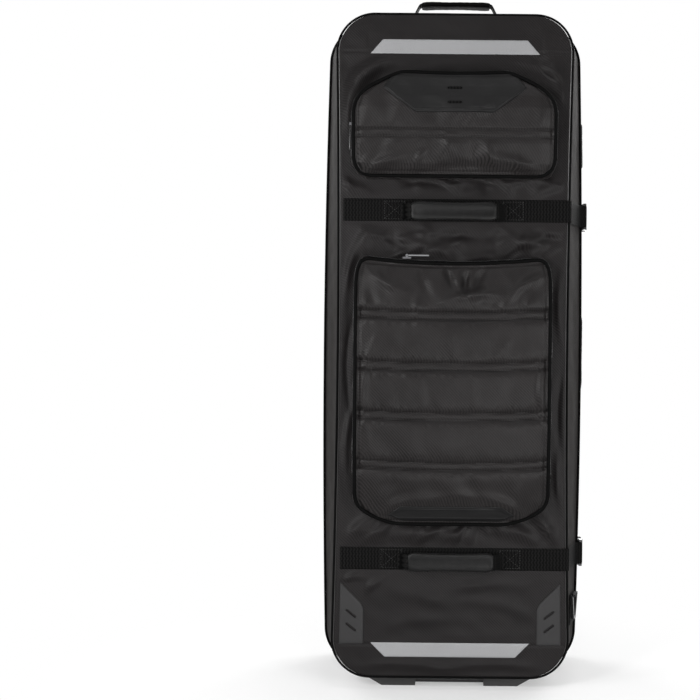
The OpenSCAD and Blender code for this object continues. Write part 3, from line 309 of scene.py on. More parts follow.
def addPiece(name, parts, rides, material, replaces=()):
    # one object from parts of points and faces, riding on a body and standing in for nodes
    points, faces, start = [], [], 0
    for p, f in parts:
        points.append(p)
        faces.extend((f + start).tolist())
        start += len(p)
    faces = [f[:3] if f[3] == f[0] else f for f in faces]
    mesh = bpy.data.meshes.new(name)
    mesh.from_pydata((np.concatenate(points) * mm).tolist(), [], faces)
    work = bmesh.new()
    work.from_mesh(mesh)
    bmesh.ops.remove_doubles(work, verts=work.verts, dist=2e-6)
    bmesh.ops.recalc_face_normals(work, faces=work.faces)
    work.to_mesh(mesh)
    work.free()
    mesh.shade_smooth()
    mesh.set_sharp_from_angle(angle=sharpAngle)
    piece = bpy.data.objects.new(name, mesh)
    bpy.context.scene.collection.objects.link(piece)
    mesh.materials.append(material)
    if rides:
        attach(piece, rides)
    if replaces:
        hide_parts(*replaces)
    return piece


def cutAway(piece, parts):
    # takes the cutter's volume out of a piece and applies the result
    cutter = addPiece("cutter", parts, None, piece.data.materials[0])
    step = piece.modifiers.new("cut", "BOOLEAN")
    step.operation, step.solver, step.object = "DIFFERENCE", "EXACT", cutter
    shape = piece.evaluated_get(bpy.context.evaluated_depsgraph_get())
    mesh = bpy.data.meshes.new_from_object(shape)
    piece.modifiers.remove(step)
    piece.data = mesh
    mesh.name = piece.name
    bpy.data.objects.remove(cutter)
    mesh.set_sharp_from_angle(angle=sharpAngle)
    return piece


def mirrored(part):  # the same part on the other side of the middle
    points, faces = part
    return points * np.array([-1, 1, 1]), faces


# ---- materials ----
def makeGroup(name, inputs, outputs):
    group = bpy.data.node_groups.new(name, "ShaderNodeTree")
    for label, kind, value in inputs:
        made = group.interface.new_socket(label, in_out="INPUT", socket_type=kind)
        if value is not None:
            made.default_value = value
    for label, kind in outputs:
        group.interface.new_socket(label, in_out="OUTPUT", socket_type=kind)
    return group, group.nodes.new("NodeGroupInput").outputs, group.nodes.new("NodeGroupOutput").inputs


def wire(tree, target, source):
    if isinstance(source, bpy.types.NodeSocket):
        tree.links.new(source, target)
    elif source is not None:
        target.default_value = source


def calc(tree, operation, a, b=None, c=None):
    node = tree.nodes.new("ShaderNodeMath")
    node.operation = operation
    for k, value in enumerate((a, b, c)):
        wire(tree, node.inputs[k], value)
    return node.outputs[0]


def sineOf(tree, value, rate, turn=2 * math.pi):
    return calc(tree, "SINE", calc(tree, "MULTIPLY", calc(tree, "MULTIPLY", value, rate), turn))


def noise(tree, place, scale, detail=3.0, rough=0.5):
    node = tree.nodes.new("ShaderNodeTexNoise")
    wire(tree, node.inputs["Vector"], place)
    wire(tree, node.inputs["Scale"], scale)
    wire(tree, node.inputs["Detail"], detail)
    wire(tree, node.inputs["Roughness"], rough)
    return node.outputs["Fac"]


floatKind, vectorKind = "NodeSocketFloat", "NodeSocketVector"

# woven cloth: yarns cross at right angles, and a slanted rib runs over them; u goes round the body, v up
clothWeave, given, result = makeGroup("clothWeave", [("Place", vectorKind, None), ("Threads", floatKind, 800.0),
                                                    ("Ribs", floatKind, 290.0), ("Rib share", floatKind, 0.4)],
                                     [("Height", floatKind), ("Tone", floatKind)])
split = clothWeave.nodes.new("ShaderNodeSeparateXYZ")
wire(clothWeave, split.inputs[0], given["Place"])
across = calc(clothWeave, "ADD", split.outputs[0], split.outputs[1])
upward = calc(clothWeave, "MULTIPLY_ADD", split.outputs[1], 0.35, split.outputs[2])
turns = [sineOf(clothWeave, v, given["Threads"], math.pi) for v in (across, upward)]
yarns = calc(clothWeave, "MULTIPLY_ADD", calc(clothWeave, "MULTIPLY", turns[0], turns[1]), 0.5, 0.5)
slant = calc(clothWeave, "ADD", across, upward)
ribs = calc(clothWeave, "MULTIPLY_ADD", sineOf(clothWeave, slant, given["Ribs"]), 0.5, 0.5)
mixed = clothWeave.nodes.new("ShaderNodeMix")
wire(clothWeave, mixed.inputs[0], given["Rib share"])
wire(clothWeave, mixed.inputs[2], yarns)
wire(clothWeave, mixed.inputs[3], ribs)
wire(clothWeave, result["Height"], mixed.outputs[0])
wire(clothWeave, result["Tone"], calc(clothWeave, "MULTIPLY_ADD", noise(clothWeave, given["Place"], 900.0, 2.0), 0.5,
                                      calc(clothWeave, "MULTIPLY", mixed.outputs[0], 0.5)))

# webbing: fine ribs across its length, which runs round the body, and soft grooves along it
webbingRibs, given, result = makeGroup("webbingRibs", [("Place", vectorKind, None), ("Ribs", floatKind, 420.0),
                                                      ("Grooves", floatKind, 130.0)], [("Height", floatKind)])
split = webbingRibs.nodes.new("ShaderNodeSeparateXYZ")
wire(webbingRibs, split.inputs[0], given["Place"])
across = calc(webbingRibs, "ADD", split.outputs[0], split.outputs[1])
zigzag = calc(webbingRibs, "MULTIPLY", calc(webbingRibs, "PINGPONG", split.outputs[2], 0.004), 0.6)
ribs = sineOf(webbingRibs, calc(webbingRibs, "ADD", across, zigzag), given["Ribs"])
grooves = sineOf(webbingRibs, split.outputs[2], given["Grooves"])
wire(webbingRibs, result["Height"], calc(webbingRibs, "MULTIPLY_ADD", calc(
    webbingRibs, "MULTIPLY_ADD", grooves, 0.3, ribs), 0.38, 0.5))

# wear, dust and painted glints: slow patches, and lighter high spots picked out by a finer noise, which stand partly
# for dust and partly for painted glints of the weave
wearAndGlintTone, given, result = makeGroup("wearAndGlintTone", [("Place", vectorKind, None), ("Size", floatKind, 14.0),
                                                ("Amount", floatKind, 0.5)],
                                   [("Patches", floatKind), ("DustAndGlints", floatKind)])
slow = noise(wearAndGlintTone, given["Place"], given["Size"], 5.0, 0.6)
wire(wearAndGlintTone, result["Patches"], calc(wearAndGlintTone, "MULTIPLY_ADD", calc(
    wearAndGlintTone, "SUBTRACT", slow, 0.5), given["Amount"], 0.5))
specks = noise(wearAndGlintTone, given["Place"], calc(wearAndGlintTone, "MULTIPLY", given["Size"], 22.0), 2.0, 0.7)
wire(wearAndGlintTone, result["DustAndGlints"], calc(wearAndGlintTone, "MULTIPLY", calc(wearAndGlintTone, "SMOOTH_MIN", calc(
    wearAndGlintTone, "MAXIMUM", calc(wearAndGlintTone, "SUBTRACT", specks, 0.62), 0.0), 0.2, 0.05), given["Amount"]))

# moulded plastic: a spark-eroded grain, fine and even
mouldGrain, given, result = makeGroup("mouldGrain", [("Place", vectorKind, None), ("Grain", floatKind, 1500.0)],
                                     [("Height", floatKind), ("Gloss", floatKind)])
wire(mouldGrain, result["Height"], noise(mouldGrain, given["Place"], given["Grain"], 2.0, 0.6))
wire(mouldGrain, result["Gloss"], noise(mouldGrain, given["Place"], 35.0, 4.0, 0.6))


def newMaterial(name, **sockets):
    material = bpy.data.materials.new(name)
    material.use_nodes = True
    tree = material.node_tree
    shader = tree.nodes["Principled BSDF"]
    for label, value in sockets.items():
        shader.inputs[label.replace("_", " ")].default_value = value
    place = tree.nodes.new("ShaderNodeTexCoord").outputs["Object"]
    return material, tree, shader, place


def useGroup(tree, group, place, **values):
    node = tree.nodes.new("ShaderNodeGroup")
    node.node_tree = group
    wire(tree, node.inputs["Place"], place)
    for label, value in values.items():
        node.inputs[label.replace("_", " ")].default_value = value
    return node.outputs


def mixColour(tree, share, dark, light):
    node = tree.nodes.new("ShaderNodeMix")
    node.data_type = "RGBA"
    wire(tree, node.inputs[0], share)
    wire(tree, node.inputs[6], dark if isinstance(dark, bpy.types.NodeSocket) else (*dark, 1))
    wire(tree, node.inputs[7], (*light, 1))
    return node.outputs[2]


def bump(tree, shader, height, strength, distance):
    node = tree.nodes.new("ShaderNodeBump")
    node.inputs["Strength"].default_value = strength
    node.inputs["Distance"].default_value = distance
    wire(tree, node.inputs["Height"], height)
    wire(tree, shader.inputs["Normal"], node.outputs[0])


def cloth(name, dark, light, threads=800.0, ribs=205.0, ribShare=0.55, rough=0.52, depth=0.35, sheen=0.015, wear=0.6,
          specular=0.1):
    material, tree, shader, place = newMaterial(name, Roughness=rough, Sheen_Weight=sheen, Sheen_Roughness=0.45,
                                                Specular_IOR_Level=specular)
    weave = useGroup(tree, clothWeave, place, Threads=threads, Ribs=ribs, Rib_share=ribShare)
    wearAndGlints = useGroup(tree, wearAndGlintTone, place, Size=9.0, Amount=wear)
    share = calc(tree, "MULTIPLY_ADD", calc(tree, "SUBTRACT", weave["Tone"], 0.47), 2.6, wearAndGlints["Patches"])
    # the lighter specks lift the colour towards three times the light colour: partly dust, partly painted glints of the
    # weave
    wire(tree, shader.inputs["Base Color"], mixColour(tree, wearAndGlints["DustAndGlints"], mixColour(tree, share, dark, light),
                                                      tuple(3 * c for c in light)))
    wire(tree, shader.inputs["Roughness"], calc(tree, "MULTIPLY_ADD", wearAndGlints["Patches"], 0.2, rough - 0.1))
    bump(tree, shader, weave["Height"], depth, 0.0006)
    return material


def plastic(name, dark, light, rough=0.45, grain=1500.0, depth=0.12, coat=0.0, metal=0.0, specular=0.5, wear=0.5):
    material, tree, shader, place = newMaterial(name, Metallic=metal, Coat_Weight=coat, Coat_Roughness=0.15,
                                                Specular_IOR_Level=specular)
    grit = useGroup(tree, mouldGrain, place, Grain=grain)
    wearAndGlints = useGroup(tree, wearAndGlintTone, place, Size=30.0, Amount=wear)
    wire(tree, shader.inputs["Base Color"], mixColour(tree, wearAndGlints["Patches"], dark, light))
    wire(tree, shader.inputs["Roughness"], calc(tree, "MULTIPLY_ADD", grit["Gloss"], 0.25, rough - 0.12))
    bump(tree, shader, grit["Height"], depth, 0.0004)
    return material


def tape(name, dark, light, rough=0.6, depth=0.7, ribs=330.0, grooves=130.0, sheen=0.01, specular=0.12):
    material, tree, shader, place = newMaterial(name, Sheen_Weight=sheen, Sheen_Roughness=0.4,
                                                Specular_IOR_Level=specular)
    ribbed = useGroup(tree, webbingRibs, place, Ribs=ribs, Grooves=grooves)
    wearAndGlints = useGroup(tree, wearAndGlintTone, place, Size=16.0, Amount=0.6)
    share = calc(tree, "MULTIPLY_ADD", calc(tree, "SUBTRACT", ribbed["Height"], 0.5), 1.8, wearAndGlints["Patches"])
    wire(tree, shader.inputs["Base Color"], mixColour(tree, share, dark, light))
    wire(tree, shader.inputs["Roughness"], calc(tree, "MULTIPLY_ADD", wearAndGlints["Patches"], 0.2, rough - 0.1))
    bump(tree, shader, ribbed["Height"], depth, 0.0008)
    return material


bodyCloth = cloth("bodyCloth", (0.0014, 0.0012, 0.0013), (0.0122, 0.0109, 0.011), rough=0.43, specular=0.08)
# painted sheen: the body's fabric again for the side walls and the hinge strip, in a lighter colour that stands in for
# their sheen, with its gloss turned down
litSideCloth = cloth("litSideCloth", (0.004, 0.0036, 0.0035), (0.016, 0.0143, 0.0136), threads=700.0, rough=0.7,
                  specular=0.04)
pocketCloth = cloth("pocketCloth", (0.0016, 0.0014, 0.0014), (0.0145, 0.013, 0.013), rough=0.38, specular=0.09)
padCloth = cloth("padCloth", (0.009, 0.009, 0.0095), (0.02, 0.02, 0.021), threads=500.0, ribShare=0.1, depth=0.5)
liningCloth = cloth("liningCloth", (0.07, 0.072, 0.075), (0.12, 0.122, 0.125), threads=1400.0, ribShare=0.1,
                    depth=0.2)
gripCloth = cloth("gripCloth", (0.0010, 0.0010, 0.0010), (0.003, 0.0029, 0.0029), threads=900.0, ribShare=0.2,
                  rough=0.3, specular=0.12)
handleCloth = cloth("handleCloth", (0.0010, 0.0010, 0.0010), (0.004, 0.0038, 0.0038), threads=900.0, ribShare=0.2,
                    rough=0.6, specular=0.03)
webTape = tape("webTape", (0.0002, 0.0002, 0.0002), (0.0052, 0.0051, 0.005), ribs=185.0, grooves=240.0,
               specular=0.03)
zipTape = tape("zipTape", (0.003, 0.003, 0.0032), (0.008, 0.008, 0.0085), ribs=700.0, grooves=300.0, depth=0.3,
               specular=0.1)
pipeSkin = plastic("pipeSkin", (0.0008, 0.0008, 0.0008), (0.003, 0.003, 0.003), rough=0.6, grain=500.0,
                   specular=0.02)
teethPlastic = plastic("teethPlastic", (0.005, 0.005, 0.0053), (0.014, 0.014, 0.0146), rough=0.35, specular=0.3)
threadPale = plastic("threadPale", (0.02, 0.0197, 0.0193), (0.042, 0.0413, 0.0405), rough=0.55, grain=900.0,
                     specular=0.2)
threadDark = plastic("threadDark", (0.008, 0.008, 0.008), (0.022, 0.0215, 0.021), rough=0.55, grain=900.0,
                     specular=0.2)
rubberGrey = plastic("rubberGrey", (0.0022, 0.0022, 0.0023), (0.0055, 0.0053, 0.0054), rough=0.5, grain=900.0,
                     depth=0.2, specular=0.12)
guardRubber = plastic("guardRubber", (0.013, 0.0127, 0.013), (0.022, 0.0215, 0.0218), rough=0.6, grain=900.0,
                      depth=0.2, specular=0.16)
mouldedBlack = plastic("mouldedBlack", (0.011, 0.0108, 0.0108), (0.021, 0.0206, 0.0202), rough=0.5, depth=0.3,
                       specular=0.3)
glossBlack = plastic("glossBlack", (0.005, 0.005, 0.0052), (0.011, 0.011, 0.0114), rough=0.26, depth=0.05, coat=0.1,
                     specular=0.4)
lockBlack = plastic("lockBlack", (0.007, 0.007, 0.0074), (0.013, 0.013, 0.0137), rough=0.3, coat=0.2, metal=0.2,
                    specular=0.4)
hubBlack = plastic("hubBlack", (0.010, 0.010, 0.0104), (0.018, 0.018, 0.0186), rough=0.42, specular=0.35)
tyreRubber = plastic("tyreRubber", (0.008, 0.008, 0.008), (0.015, 0.0147, 0.0144), rough=0.72, grain=700.0, depth=0.3,
                     specular=0.2)
boardGrey = plastic("boardGrey", (0.04, 0.04, 0.042), (0.06, 0.06, 0.062), rough=0.6)
dialGrey = plastic("dialGrey", (0.05, 0.05, 0.053), (0.09, 0.09, 0.095), rough=0.4)
buttonBlack = plastic("buttonBlack", (0.010, 0.010, 0.0104), (0.019, 0.019, 0.0198), rough=0.4, specular=0.35)
darkSteel = plastic("darkSteel", (0.05, 0.05, 0.053), (0.12, 0.12, 0.125), rough=0.38, metal=1.0, depth=0.05)
brightSteel = plastic("brightSteel", (0.42, 0.425, 0.44), (0.58, 0.585, 0.6), rough=0.3, metal=1.0, depth=0.04)
silverMetal = plastic("silverMetal", (0.14, 0.142, 0.146), (0.22, 0.222, 0.228), rough=0.34, metal=1.0, depth=0.05)
stripTape = tape("stripTape", (0.145, 0.146, 0.149), (0.215, 0.2165, 0.221), rough=0.5, ribs=600.0, grooves=600.0,
                 depth=0.25, sheen=0.0, specular=0.4)
print("materials made")


# ---- front and back panels ----
strapZ = {"upper": 817.0, "lower": 225.0}
strips = {"height": 24.0, "rows": [(1095, 288, 246), (70, 222, 270)]}  # a height, and the widths low and high
guard = {"outer": 188.5, "height": 104.0, "z": 79.0, "thick": 3.0}
panelGap = 0.1  # between the panel and what is sewn on it
panel = {"edge": 2.5, "turn": 0.75, "seamHigh": 1086.0, "seamLow": 79.0, "waves": 0.8, "crown": 1.2}


def clearOfTrim(x, z):
    # 0 under the straps, the light strips and the corner guards, and 1 away from them
    strap = np.minimum(np.abs(z - strapZ["upper"]), np.abs(z - strapZ["lower"])) - 20
    strip = np.minimum.reduce([np.abs(z - row[0]) for row in strips["rows"]]) - strips["height"] / 2
    strip = np.maximum(strip, (np.abs(x) - 146) * 2)
    corner = np.maximum(np.abs(z - guard["z"] - guard["height"] / 2) - guard["height"] / 2 - 1, 146 - np.abs(x))
    return np.clip(strap / 26, 0, 1) * np.clip(strip / 12, 0, 1) * np.clip(corner / 10, 0, 1)


frontFolds = (
    [(-120, 268, 55, 30, 9, 2.0), (-150, 250, 40, 34, 8, 1.8), (130, 262, -50, 34, 9, 1.6),
     (168, 270, -62, 30, 8, 1.5), (-160, 200, 38, 26, 7, 2.2), (-135, 180, 42, 30, 8, 1.6),
     (-175, 186, 60, 22, 6, 1.4), (-150, 845, -35, 34, 9, 1.8), (-178, 858, -48, 28, 7, 1.6),
     (150, 848, 32, 36, 9, 1.8), (90, 765, 12, 44, 9, 1.2), (-60, 762, -14, 50, 9, 1.2), (-130, 775, -28, 40, 9, 1.6),
     (140, 770, 30, 40, 9, 1.5), (0, 775, 3, 60, 10, -1.2), (-182, 700, 78, 60, 7, 1.6), (-181, 560, 88, 70, 6, -1.5),
     (-182, 420, 84, 60, 7, 1.5), (182, 640, 95, 70, 7, 1.6), (181, 480, 88, 70, 6, -1.4), (183, 350, 98, 50, 7, 1.5),
     (-60, 120, 8, 60, 12, 0.9), (70, 150, -10, 60, 12, 0.9), (-140, 1062, 25, 44, 9, 1.4),
     (150, 1062, -22, 44, 9, 1.4), (-30, 1064, 4, 60, 8, 1.0), (60, 48, 3, 70, 9, 1.0), (-70, 47, -4, 70, 9, 1.0),
     (176, 1036, 118, 54, 15, 2.2), (150, 1058, 130, 40, 13, -1.8), (-174, 1010, 62, 56, 15, 2.2),
     (-150, 1052, 40, 44, 13, 1.8), (8, 856, 84, 26, 10, 1.3), (52, 853, 98, 28, 11, -1.4),
     (96, 856, 80, 28, 10, 1.5), (140, 852, 104, 30, 11, 1.5), (-60, 855, 96, 26, 10, 1.2),
     (-148, 772, 76, 32, 11, 1.7), (-104, 764, 96, 30, 11, -1.4), (-52, 770, 84, 30, 10, 1.4),
     (12, 764, 100, 30, 10, 1.2), (70, 770, 82, 30, 11, -1.4), (126, 766, 104, 32, 11, 1.6),
     (-150, 276, 48, 46, 16, 2.4), (-96, 262, 14, 56, 12, 1.6), (10, 262, -6, 60, 11, 1.3),
     (110, 268, -24, 52, 13, 1.7), (160, 284, -58, 44, 14, 2.0), (-170, 176, 56, 40, 13, 1.7),
     (40, 182, 12, 60, 13, 1.2), (-40, 160, -16, 56, 14, 1.1)]
    + scatter(3, 26, (-170, 170), (245, 290), 60, 40, 26, 6, 0.9)
    + scatter(4, 30, (-175, 175), (738, 800), 0, 45, 30, 7, 0.9)
    + scatter(5, 20, (-175, 175), (836, 872), 0, 40, 26, 6, 0.9))


def rollBack(gap):  # the panel's edge rolls back towards its wall on a circle
    return panel["edge"] * (1 - np.sqrt(1 - (panel["turn"] * (1 - np.clip(gap / panel["edge"], 0, 1))) ** 2))


def panelLift(x, z, gap):  # how far the padded cloth stands out of the flat panel
    wave = 3.0 * creases(x, z, frontFolds) + panel["waves"] * softWaves(x, z, 11, 120) + 0.4 * softWaves(x, z, 12, 34)
    return (panel["crown"] * (1 - np.exp(-gap / 25)) - 0.6 + wave * clearOfTrim(x, z)) * np.clip(gap / 14, 0, 1)


def panelFace(points, gap):
    x, z = points[..., 0], points[..., 2]
    calm = np.clip(gap / 14, 0, 1)
    lift = panelLift(x, z, gap)
    for seam in (panel["seamHigh"], panel["seamLow"]):  # a seam pulls the cloth in along a line
        lift -= 1.3 * np.exp(-((z - seam) / 2.2) ** 2) * calm
        lift += 0.5 * np.exp(-((z - seam) / 8) ** 2) * calm
    points = points.copy()
    points[..., 1] += rollBack(gap) - lift
    return points


front, gap = panelGrid(frontY, 0, 430, 178)
inner = edgeLoop(panelGrid(frontY + body["panel"], 0, 430, 178)[0])
addPiece("frontPanel", [walled(panelFace(front, gap), [inner])], "lid", bodyCloth, ["front_panel"])

back, gap = panelGrid(backY, 0, 220, 90)
lift = (0.5 * softWaves(back[..., 0], back[..., 2], 21, 130) - 0.8) * np.clip(gap / 30, 0, 1)
back[..., 1] += lift - rollBack(gap)
inner = panelGrid(backY - body["panel"], 0, 220, 90)[0]
backPanel = addPiece("backPanel", [walled(inner, [], back)], "case", bodyCloth, ["back_panel"])

# the arch round each wheel, which the cloth leaves free
arch = {"y": backY + 5, "z": 34.0, "r": 60.0, "inner": 179.0, "outer": 260.0, "play": 0.2}
archAngle = np.linspace(0, 2 * math.pi, 96, endpoint=False)
archRing = np.stack([0 * archAngle, arch["y"] + (arch["r"] + arch["play"]) * np.cos(archAngle),
                     arch["z"] + (arch["r"] + arch["play"]) * np.sin(archAngle)], -1)


def prism(ring, start, end):  # a closed outline carried from one place to another, with both ends shut
    rows = shut(np.stack([ring + start, ring + end]))
    return rows.reshape(-1, 3), gridQuads(len(rows), len(ring), wrapCols=True)


def archCut():
    part = prism(archRing, (arch["inner"] - arch["play"]) * alongX, arch["outer"] * alongX)
    return [part, mirrored(part)]


cutAway(backPanel, archCut())
print("panels made")


# ---- side walls ----
def bandRows(profile, count=900):
    # rings at each depth and offset of a profile that goes round the wall's section
    y, grow = np.array(profile, float).T
    return ringPoints(y, grow, count)


def wallFolds(rows, s, count, seed, depth):
    # slow upright and slanted folds on the outer rings, fading at both seams
    x, y, z = np.moveaxis(rows[:count], -1, 0)
    share = (y - y.min()) / max(1e-6, y.max() - y.min())
    fade = np.sin(math.pi * share) ** 0.6
    around = np.broadcast_to(s, y.shape)
    wave = depth * softWaves(around * 0.35, y * 1.6, seed, 60) + 0.5 * depth * softWaves(around, y, seed + 1, 34)
    for strap in strapZ.values():  # calm under the straps on the right wall
        wave = wave * np.where(x > 150, np.clip((np.abs(z - strap) - 24) / 20, 0, 1), 1)
    up = z - body["midZ"]
    outward = unit(np.stack([x * (np.abs(x) > 140), 0 * y, up * (np.abs(up) > 500)], -1) / 60)
    rows[:count] += outward * (wave * fade)[..., None]
    return rows


def wallBand(name, start, end, rides, node, seed, depth):
    steps = np.linspace(start, end, 26)
    profile = [(y, 0) for y in steps] + [(end, -2), (end, -body["wall"]), (start, -body["wall"]), (start, -2)]
    rows, s = bandRows(profile)
    rows = wallFolds(rows, s, len(steps), seed, depth)
    return addPiece(name, [hoop(rows)], rides, litSideCloth, [node])


wallBand("lidWall", frontY + body["panel"], seamY, "lid", "lid_gusset", 31, 0.9)
baseWall = wallBand("baseWall", baseY, backY - body["panel"], "case", "base_gusset", 33, 1.1)
cutAway(baseWall, archCut())
print("walls made")


# ---- piping, zip and hinge strip ----
def pipe(y, refY, grow, r, seed):
    path, s = ringPoints(refY, grow + r + panelGap, 900)
    path = path[0]
    path[:, 1] = y + 0.25 * np.sin(s / 37.0 + seed) + 0.15 * np.sin(s / 11.0 + 2 * seed)
    return sweep(path, roundSection(r, 12), alongY, closed=True)


# each run's depth, the depth of the wall that it follows, its offset, its radius and what it is sewn to
pipes = {"frontPipe": (frontY + 2.5, frontY + 6, 0, 2.0, "lid", "lid_piping"),
         "seamPipe": (seamY, seamY, 0, 2.0, "lid", "lid_piping"),
         "zipPipe": (seamY + 9, seamY + 9, -1.5, 1.6, "lid", "lid_piping"),
         "basePipe": (baseY, baseY, 0, 1.6, "case", "base_piping"),
         "backPipe": (backY - 2.5, backY - 6, 0, 2.0, "case", "base_piping")}
for seed, (name, (y, refY, grow, r, rides, node)) in enumerate(pipes.items(), 1):
    piping = addPiece(name, [pipe(y, refY, grow, r, seed)], rides, pipeSkin, [node])
cutAway(piping, archCut())  # the last run passes behind the wheels

zipBand = {"out": -1.5, "sag": 0.9, "inner": -3.4, "toothEdge": 1.7, "halfGap": 0.1, "pitch": 2.4,
           "tooth": (1.5, 2.9, 1.9)}
hinge = {"x": -222.0, "half": 470.0, "thick": 2.2, "puff": 0.9, "bend": 6.0}


def tapeBand(start, end):
    # the zip tape between its sewn edge and the teeth, with a shallow roll along the middle
    steps = np.linspace(start, end, 9)
    sag = zipBand["out"] - zipBand["sag"] * np.sin(np.linspace(0, math.pi, 9))
    return bandRows(list(zip(steps, sag)) + [(end, zipBand["inner"]), (start, zipBand["inner"])])[0]


def openRun(path, keep):  # the one stretch of a closed path where keep holds
    first = int(np.argmax(keep & ~np.roll(keep, 1)))
    return np.roll(path, -first, 0)[: int(keep.sum())]


for name, start, sign, rides, node in (("lidTape", seamY, -1, "lid", "zip_lid"),
                                       ("baseTape", baseY, 1, "case", "zip_base")):
    addPiece(name, [hoop(tapeBand(start, partY + sign * zipBand["halfGap"]))], rides, zipTape, [node])
    path = ringPoints(partY + sign * zipBand["toothEdge"], -0.7, 1400)[0][0]
    path = openRun(path, ~((path[:, 0] < -150) & (np.abs(path[:, 2] - body["midZ"]) < hinge["half"] + 10)))
    teeth = teethRow(path, alongY, body["midZ"] * alongZ, zipBand["pitch"], zipBand["tooth"])
    addPiece(name.replace("Tape", "Teeth"), [teeth], rides, teethPlastic)

# cloth that joins lid and base on the left, where they hinge
hingeZ = np.linspace(body["midZ"] - hinge["half"], body["midZ"] + hinge["half"], 180)
hingeY = np.linspace(seamY + 11, baseY - 1.5, 22)
zz, yy = np.meshgrid(hingeZ, hingeY, indexing="ij")
roundOff = np.clip((hinge["half"] - np.abs(zz - body["midZ"])) / 12, 0, 1) ** 0.5
puff = hinge["puff"] * np.sin(math.pi * (yy - hingeY[0]) / (hingeY[-1] - hingeY[0])) + 0.2 * softWaves(zz, yy, 41, 25)
outerGrid = np.stack([-(wallX(yy, zz) + 0.2 + puff * roundOff), yy, zz], -1)
hingeStrip = addPiece("hingeStrip", [walled(outerGrid, [], outerGrid + hinge["thick"] * alongX)], None, litSideCloth)
bend = [(hinge["x"] * mm, (partY + s * hinge["bend"]) * mm, body["midZ"] * mm) for s in (-1, 1)]
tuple(bend[0])
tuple(bend[1])
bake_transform(hingeStrip)
print("seams made")


# ---- linings ----
def liningCup(name, floorY, rimY, rides, node, seed):
    # a thin cup: the inner floor and walls, the rim, and the outer walls and floor
    inset, thick, toward = -body["wall"] - 0.3, 1.5, math.copysign(1.5, rimY - floorY)
    floor, gap = panelGrid(floorY + toward, inset - thick, 120, 60)
    floor[..., 1] += toward * 0.5 * (softWaves(floor[..., 0], floor[..., 2], seed, 90) + 1) * np.clip(gap / 20, 0, 1)
    under = panelGrid(floorY, inset, 120, 60)[0]
    steps = np.linspace(floorY + toward, rimY, 14)
    innerRings = [edgeLoop(panelGrid(y, inset - thick, 120, 60)[0]) for y in steps[1:]]
    outerRings = [edgeLoop(panelGrid(y, inset, 120, 60)[0]) for y in steps[::-1]]
    return addPiece(name, [walled(floor, innerRings + outerRings, under)], rides, liningCloth, [node])


liningCup("lidLining", frontY + 6.1, seamY, "lid", "lid_lining", 51)
baseLining = liningCup("baseLining", backY - 9.2, baseY, "case", "base_lining", 52)
cutAway(baseLining, archCut())

pad = {"width": 300.0, "height": 577.0, "thick": 6.0, "z": 671.0, "corner": 32.0}
x, z = roundedGrid(pad["width"] / 2, pad["height"] / 2, pad["corner"], 150, 80)
gap = edgeGap(x, z, pad["width"] / 2, pad["height"] / 2, pad["corner"])
crown = pad["thick"] * (0.25 + 0.75 * (1 - np.exp(-gap / 7))) + 1.5 * np.clip(gap / 120, 0, 1)
crown += 0.4 * softWaves(x, z, 61, 90) - 1.6 * np.exp(-((gap - 9) / 1.6) ** 2)
base = np.stack([x, 0 * x + backY + panelGap, z + pad["z"]], -1)
face = base + crown[..., None] * alongY
backPad = addPiece("backPad", [walled(base, [], face)], "case", padCloth, ["back_pad"])
print("linings made")


# ---- pockets ----
pockets = {
    "small": {"width": 340.0, "height": 173.0, "depth": 48.0, "z": 873.0, "sag": 3.0, "rows": 150, "cols": 170,
              "form": [[0, .87, .40], [.03, .95, .52], [.11, 1, .66], [.3, 1, .83], [.64, 1, 1], [.75, .955, 1],
                       [.85, .83, .93], [.94, .66, .82], [1, .52, .7]]},
    "big": {"width": 326.0, "height": 447.0, "depth": 53.0, "z": 286.0, "sag": 9.0, "rows": 260, "cols": 160,
            "form": [[0, .56, .3], [.012, .7, .36], [.035, .85, .42], [.06, .95, .5], [.09, 1, .58], [.17, 1, .72],
                     [.3, 1, .85], [.48, 1, .94], [.82, 1, 1], [.93, 1, .87], [.985, .97, .75], [1, .92, .68]]}}
quilts = [641.0, 556.0, 473.0, 390.0]
smallRows = [948.0, 936.0]


def formAt(spec, share, column):
    # the form's value at a share of the height, softened over about one part in forty
    form = np.array(spec["form"])
    fine = np.linspace(-0.05, 1.05, 441)
    value = np.interp(fine, form[:, 0], form[:, column])
    core = np.hanning(13)
    value = np.convolve(np.pad(value, 6, mode="edge"), core / core.sum(), "valid")
    return np.interp(share, fine, value)


bigFolds = ([(20, 690, 92, 20, 7, -4.0), (40, 696, 68, 22, 7, -3.4), (-6, 700, 112, 18, 6, -2.6),
             (28, 672, 10, 46, 9, 2.4), (-110, 690, 150, 30, 8, 1.8), (118, 690, 35, 30, 8, 1.8),
             (-60, 650, 96, 20, 8, 1.0), (-148, 520, 85, 60, 7, 1.6), (149, 500, 95, 60, 7, 1.6),
             (-100, 318, 30, 34, 9, 1.5), (100, 318, -30, 34, 9, 1.5), (0, 335, 4, 70, 9, 1.0)]
            + scatter(7, 14, (-150, 150), (300, 385), 90, 60, 34, 12, 0.6)
            + scatter(8, 22, (-150, 150), (400, 640), 90, 28, 34, 12, 0.5)
            + scatter(9, 14, (-150, 150), (650, 715), 70, 50, 26, 9, 0.9))
smallFolds = ([(-120, 892, 24, 40, 9, 1.8), (110, 893, -20, 40, 9, 1.7), (10, 888, 3, 70, 8, -1.5),
               (-60, 900, 60, 16, 6, 1.2), (60, 905, 110, 16, 6, 1.2)]
              + scatter(17, 14, (-160, 160), (880, 930), 90, 40, 26, 11, 0.7)
              + scatter(18, 10, (-160, 160), (955, 990), 60, 50, 28, 12, 0.8))


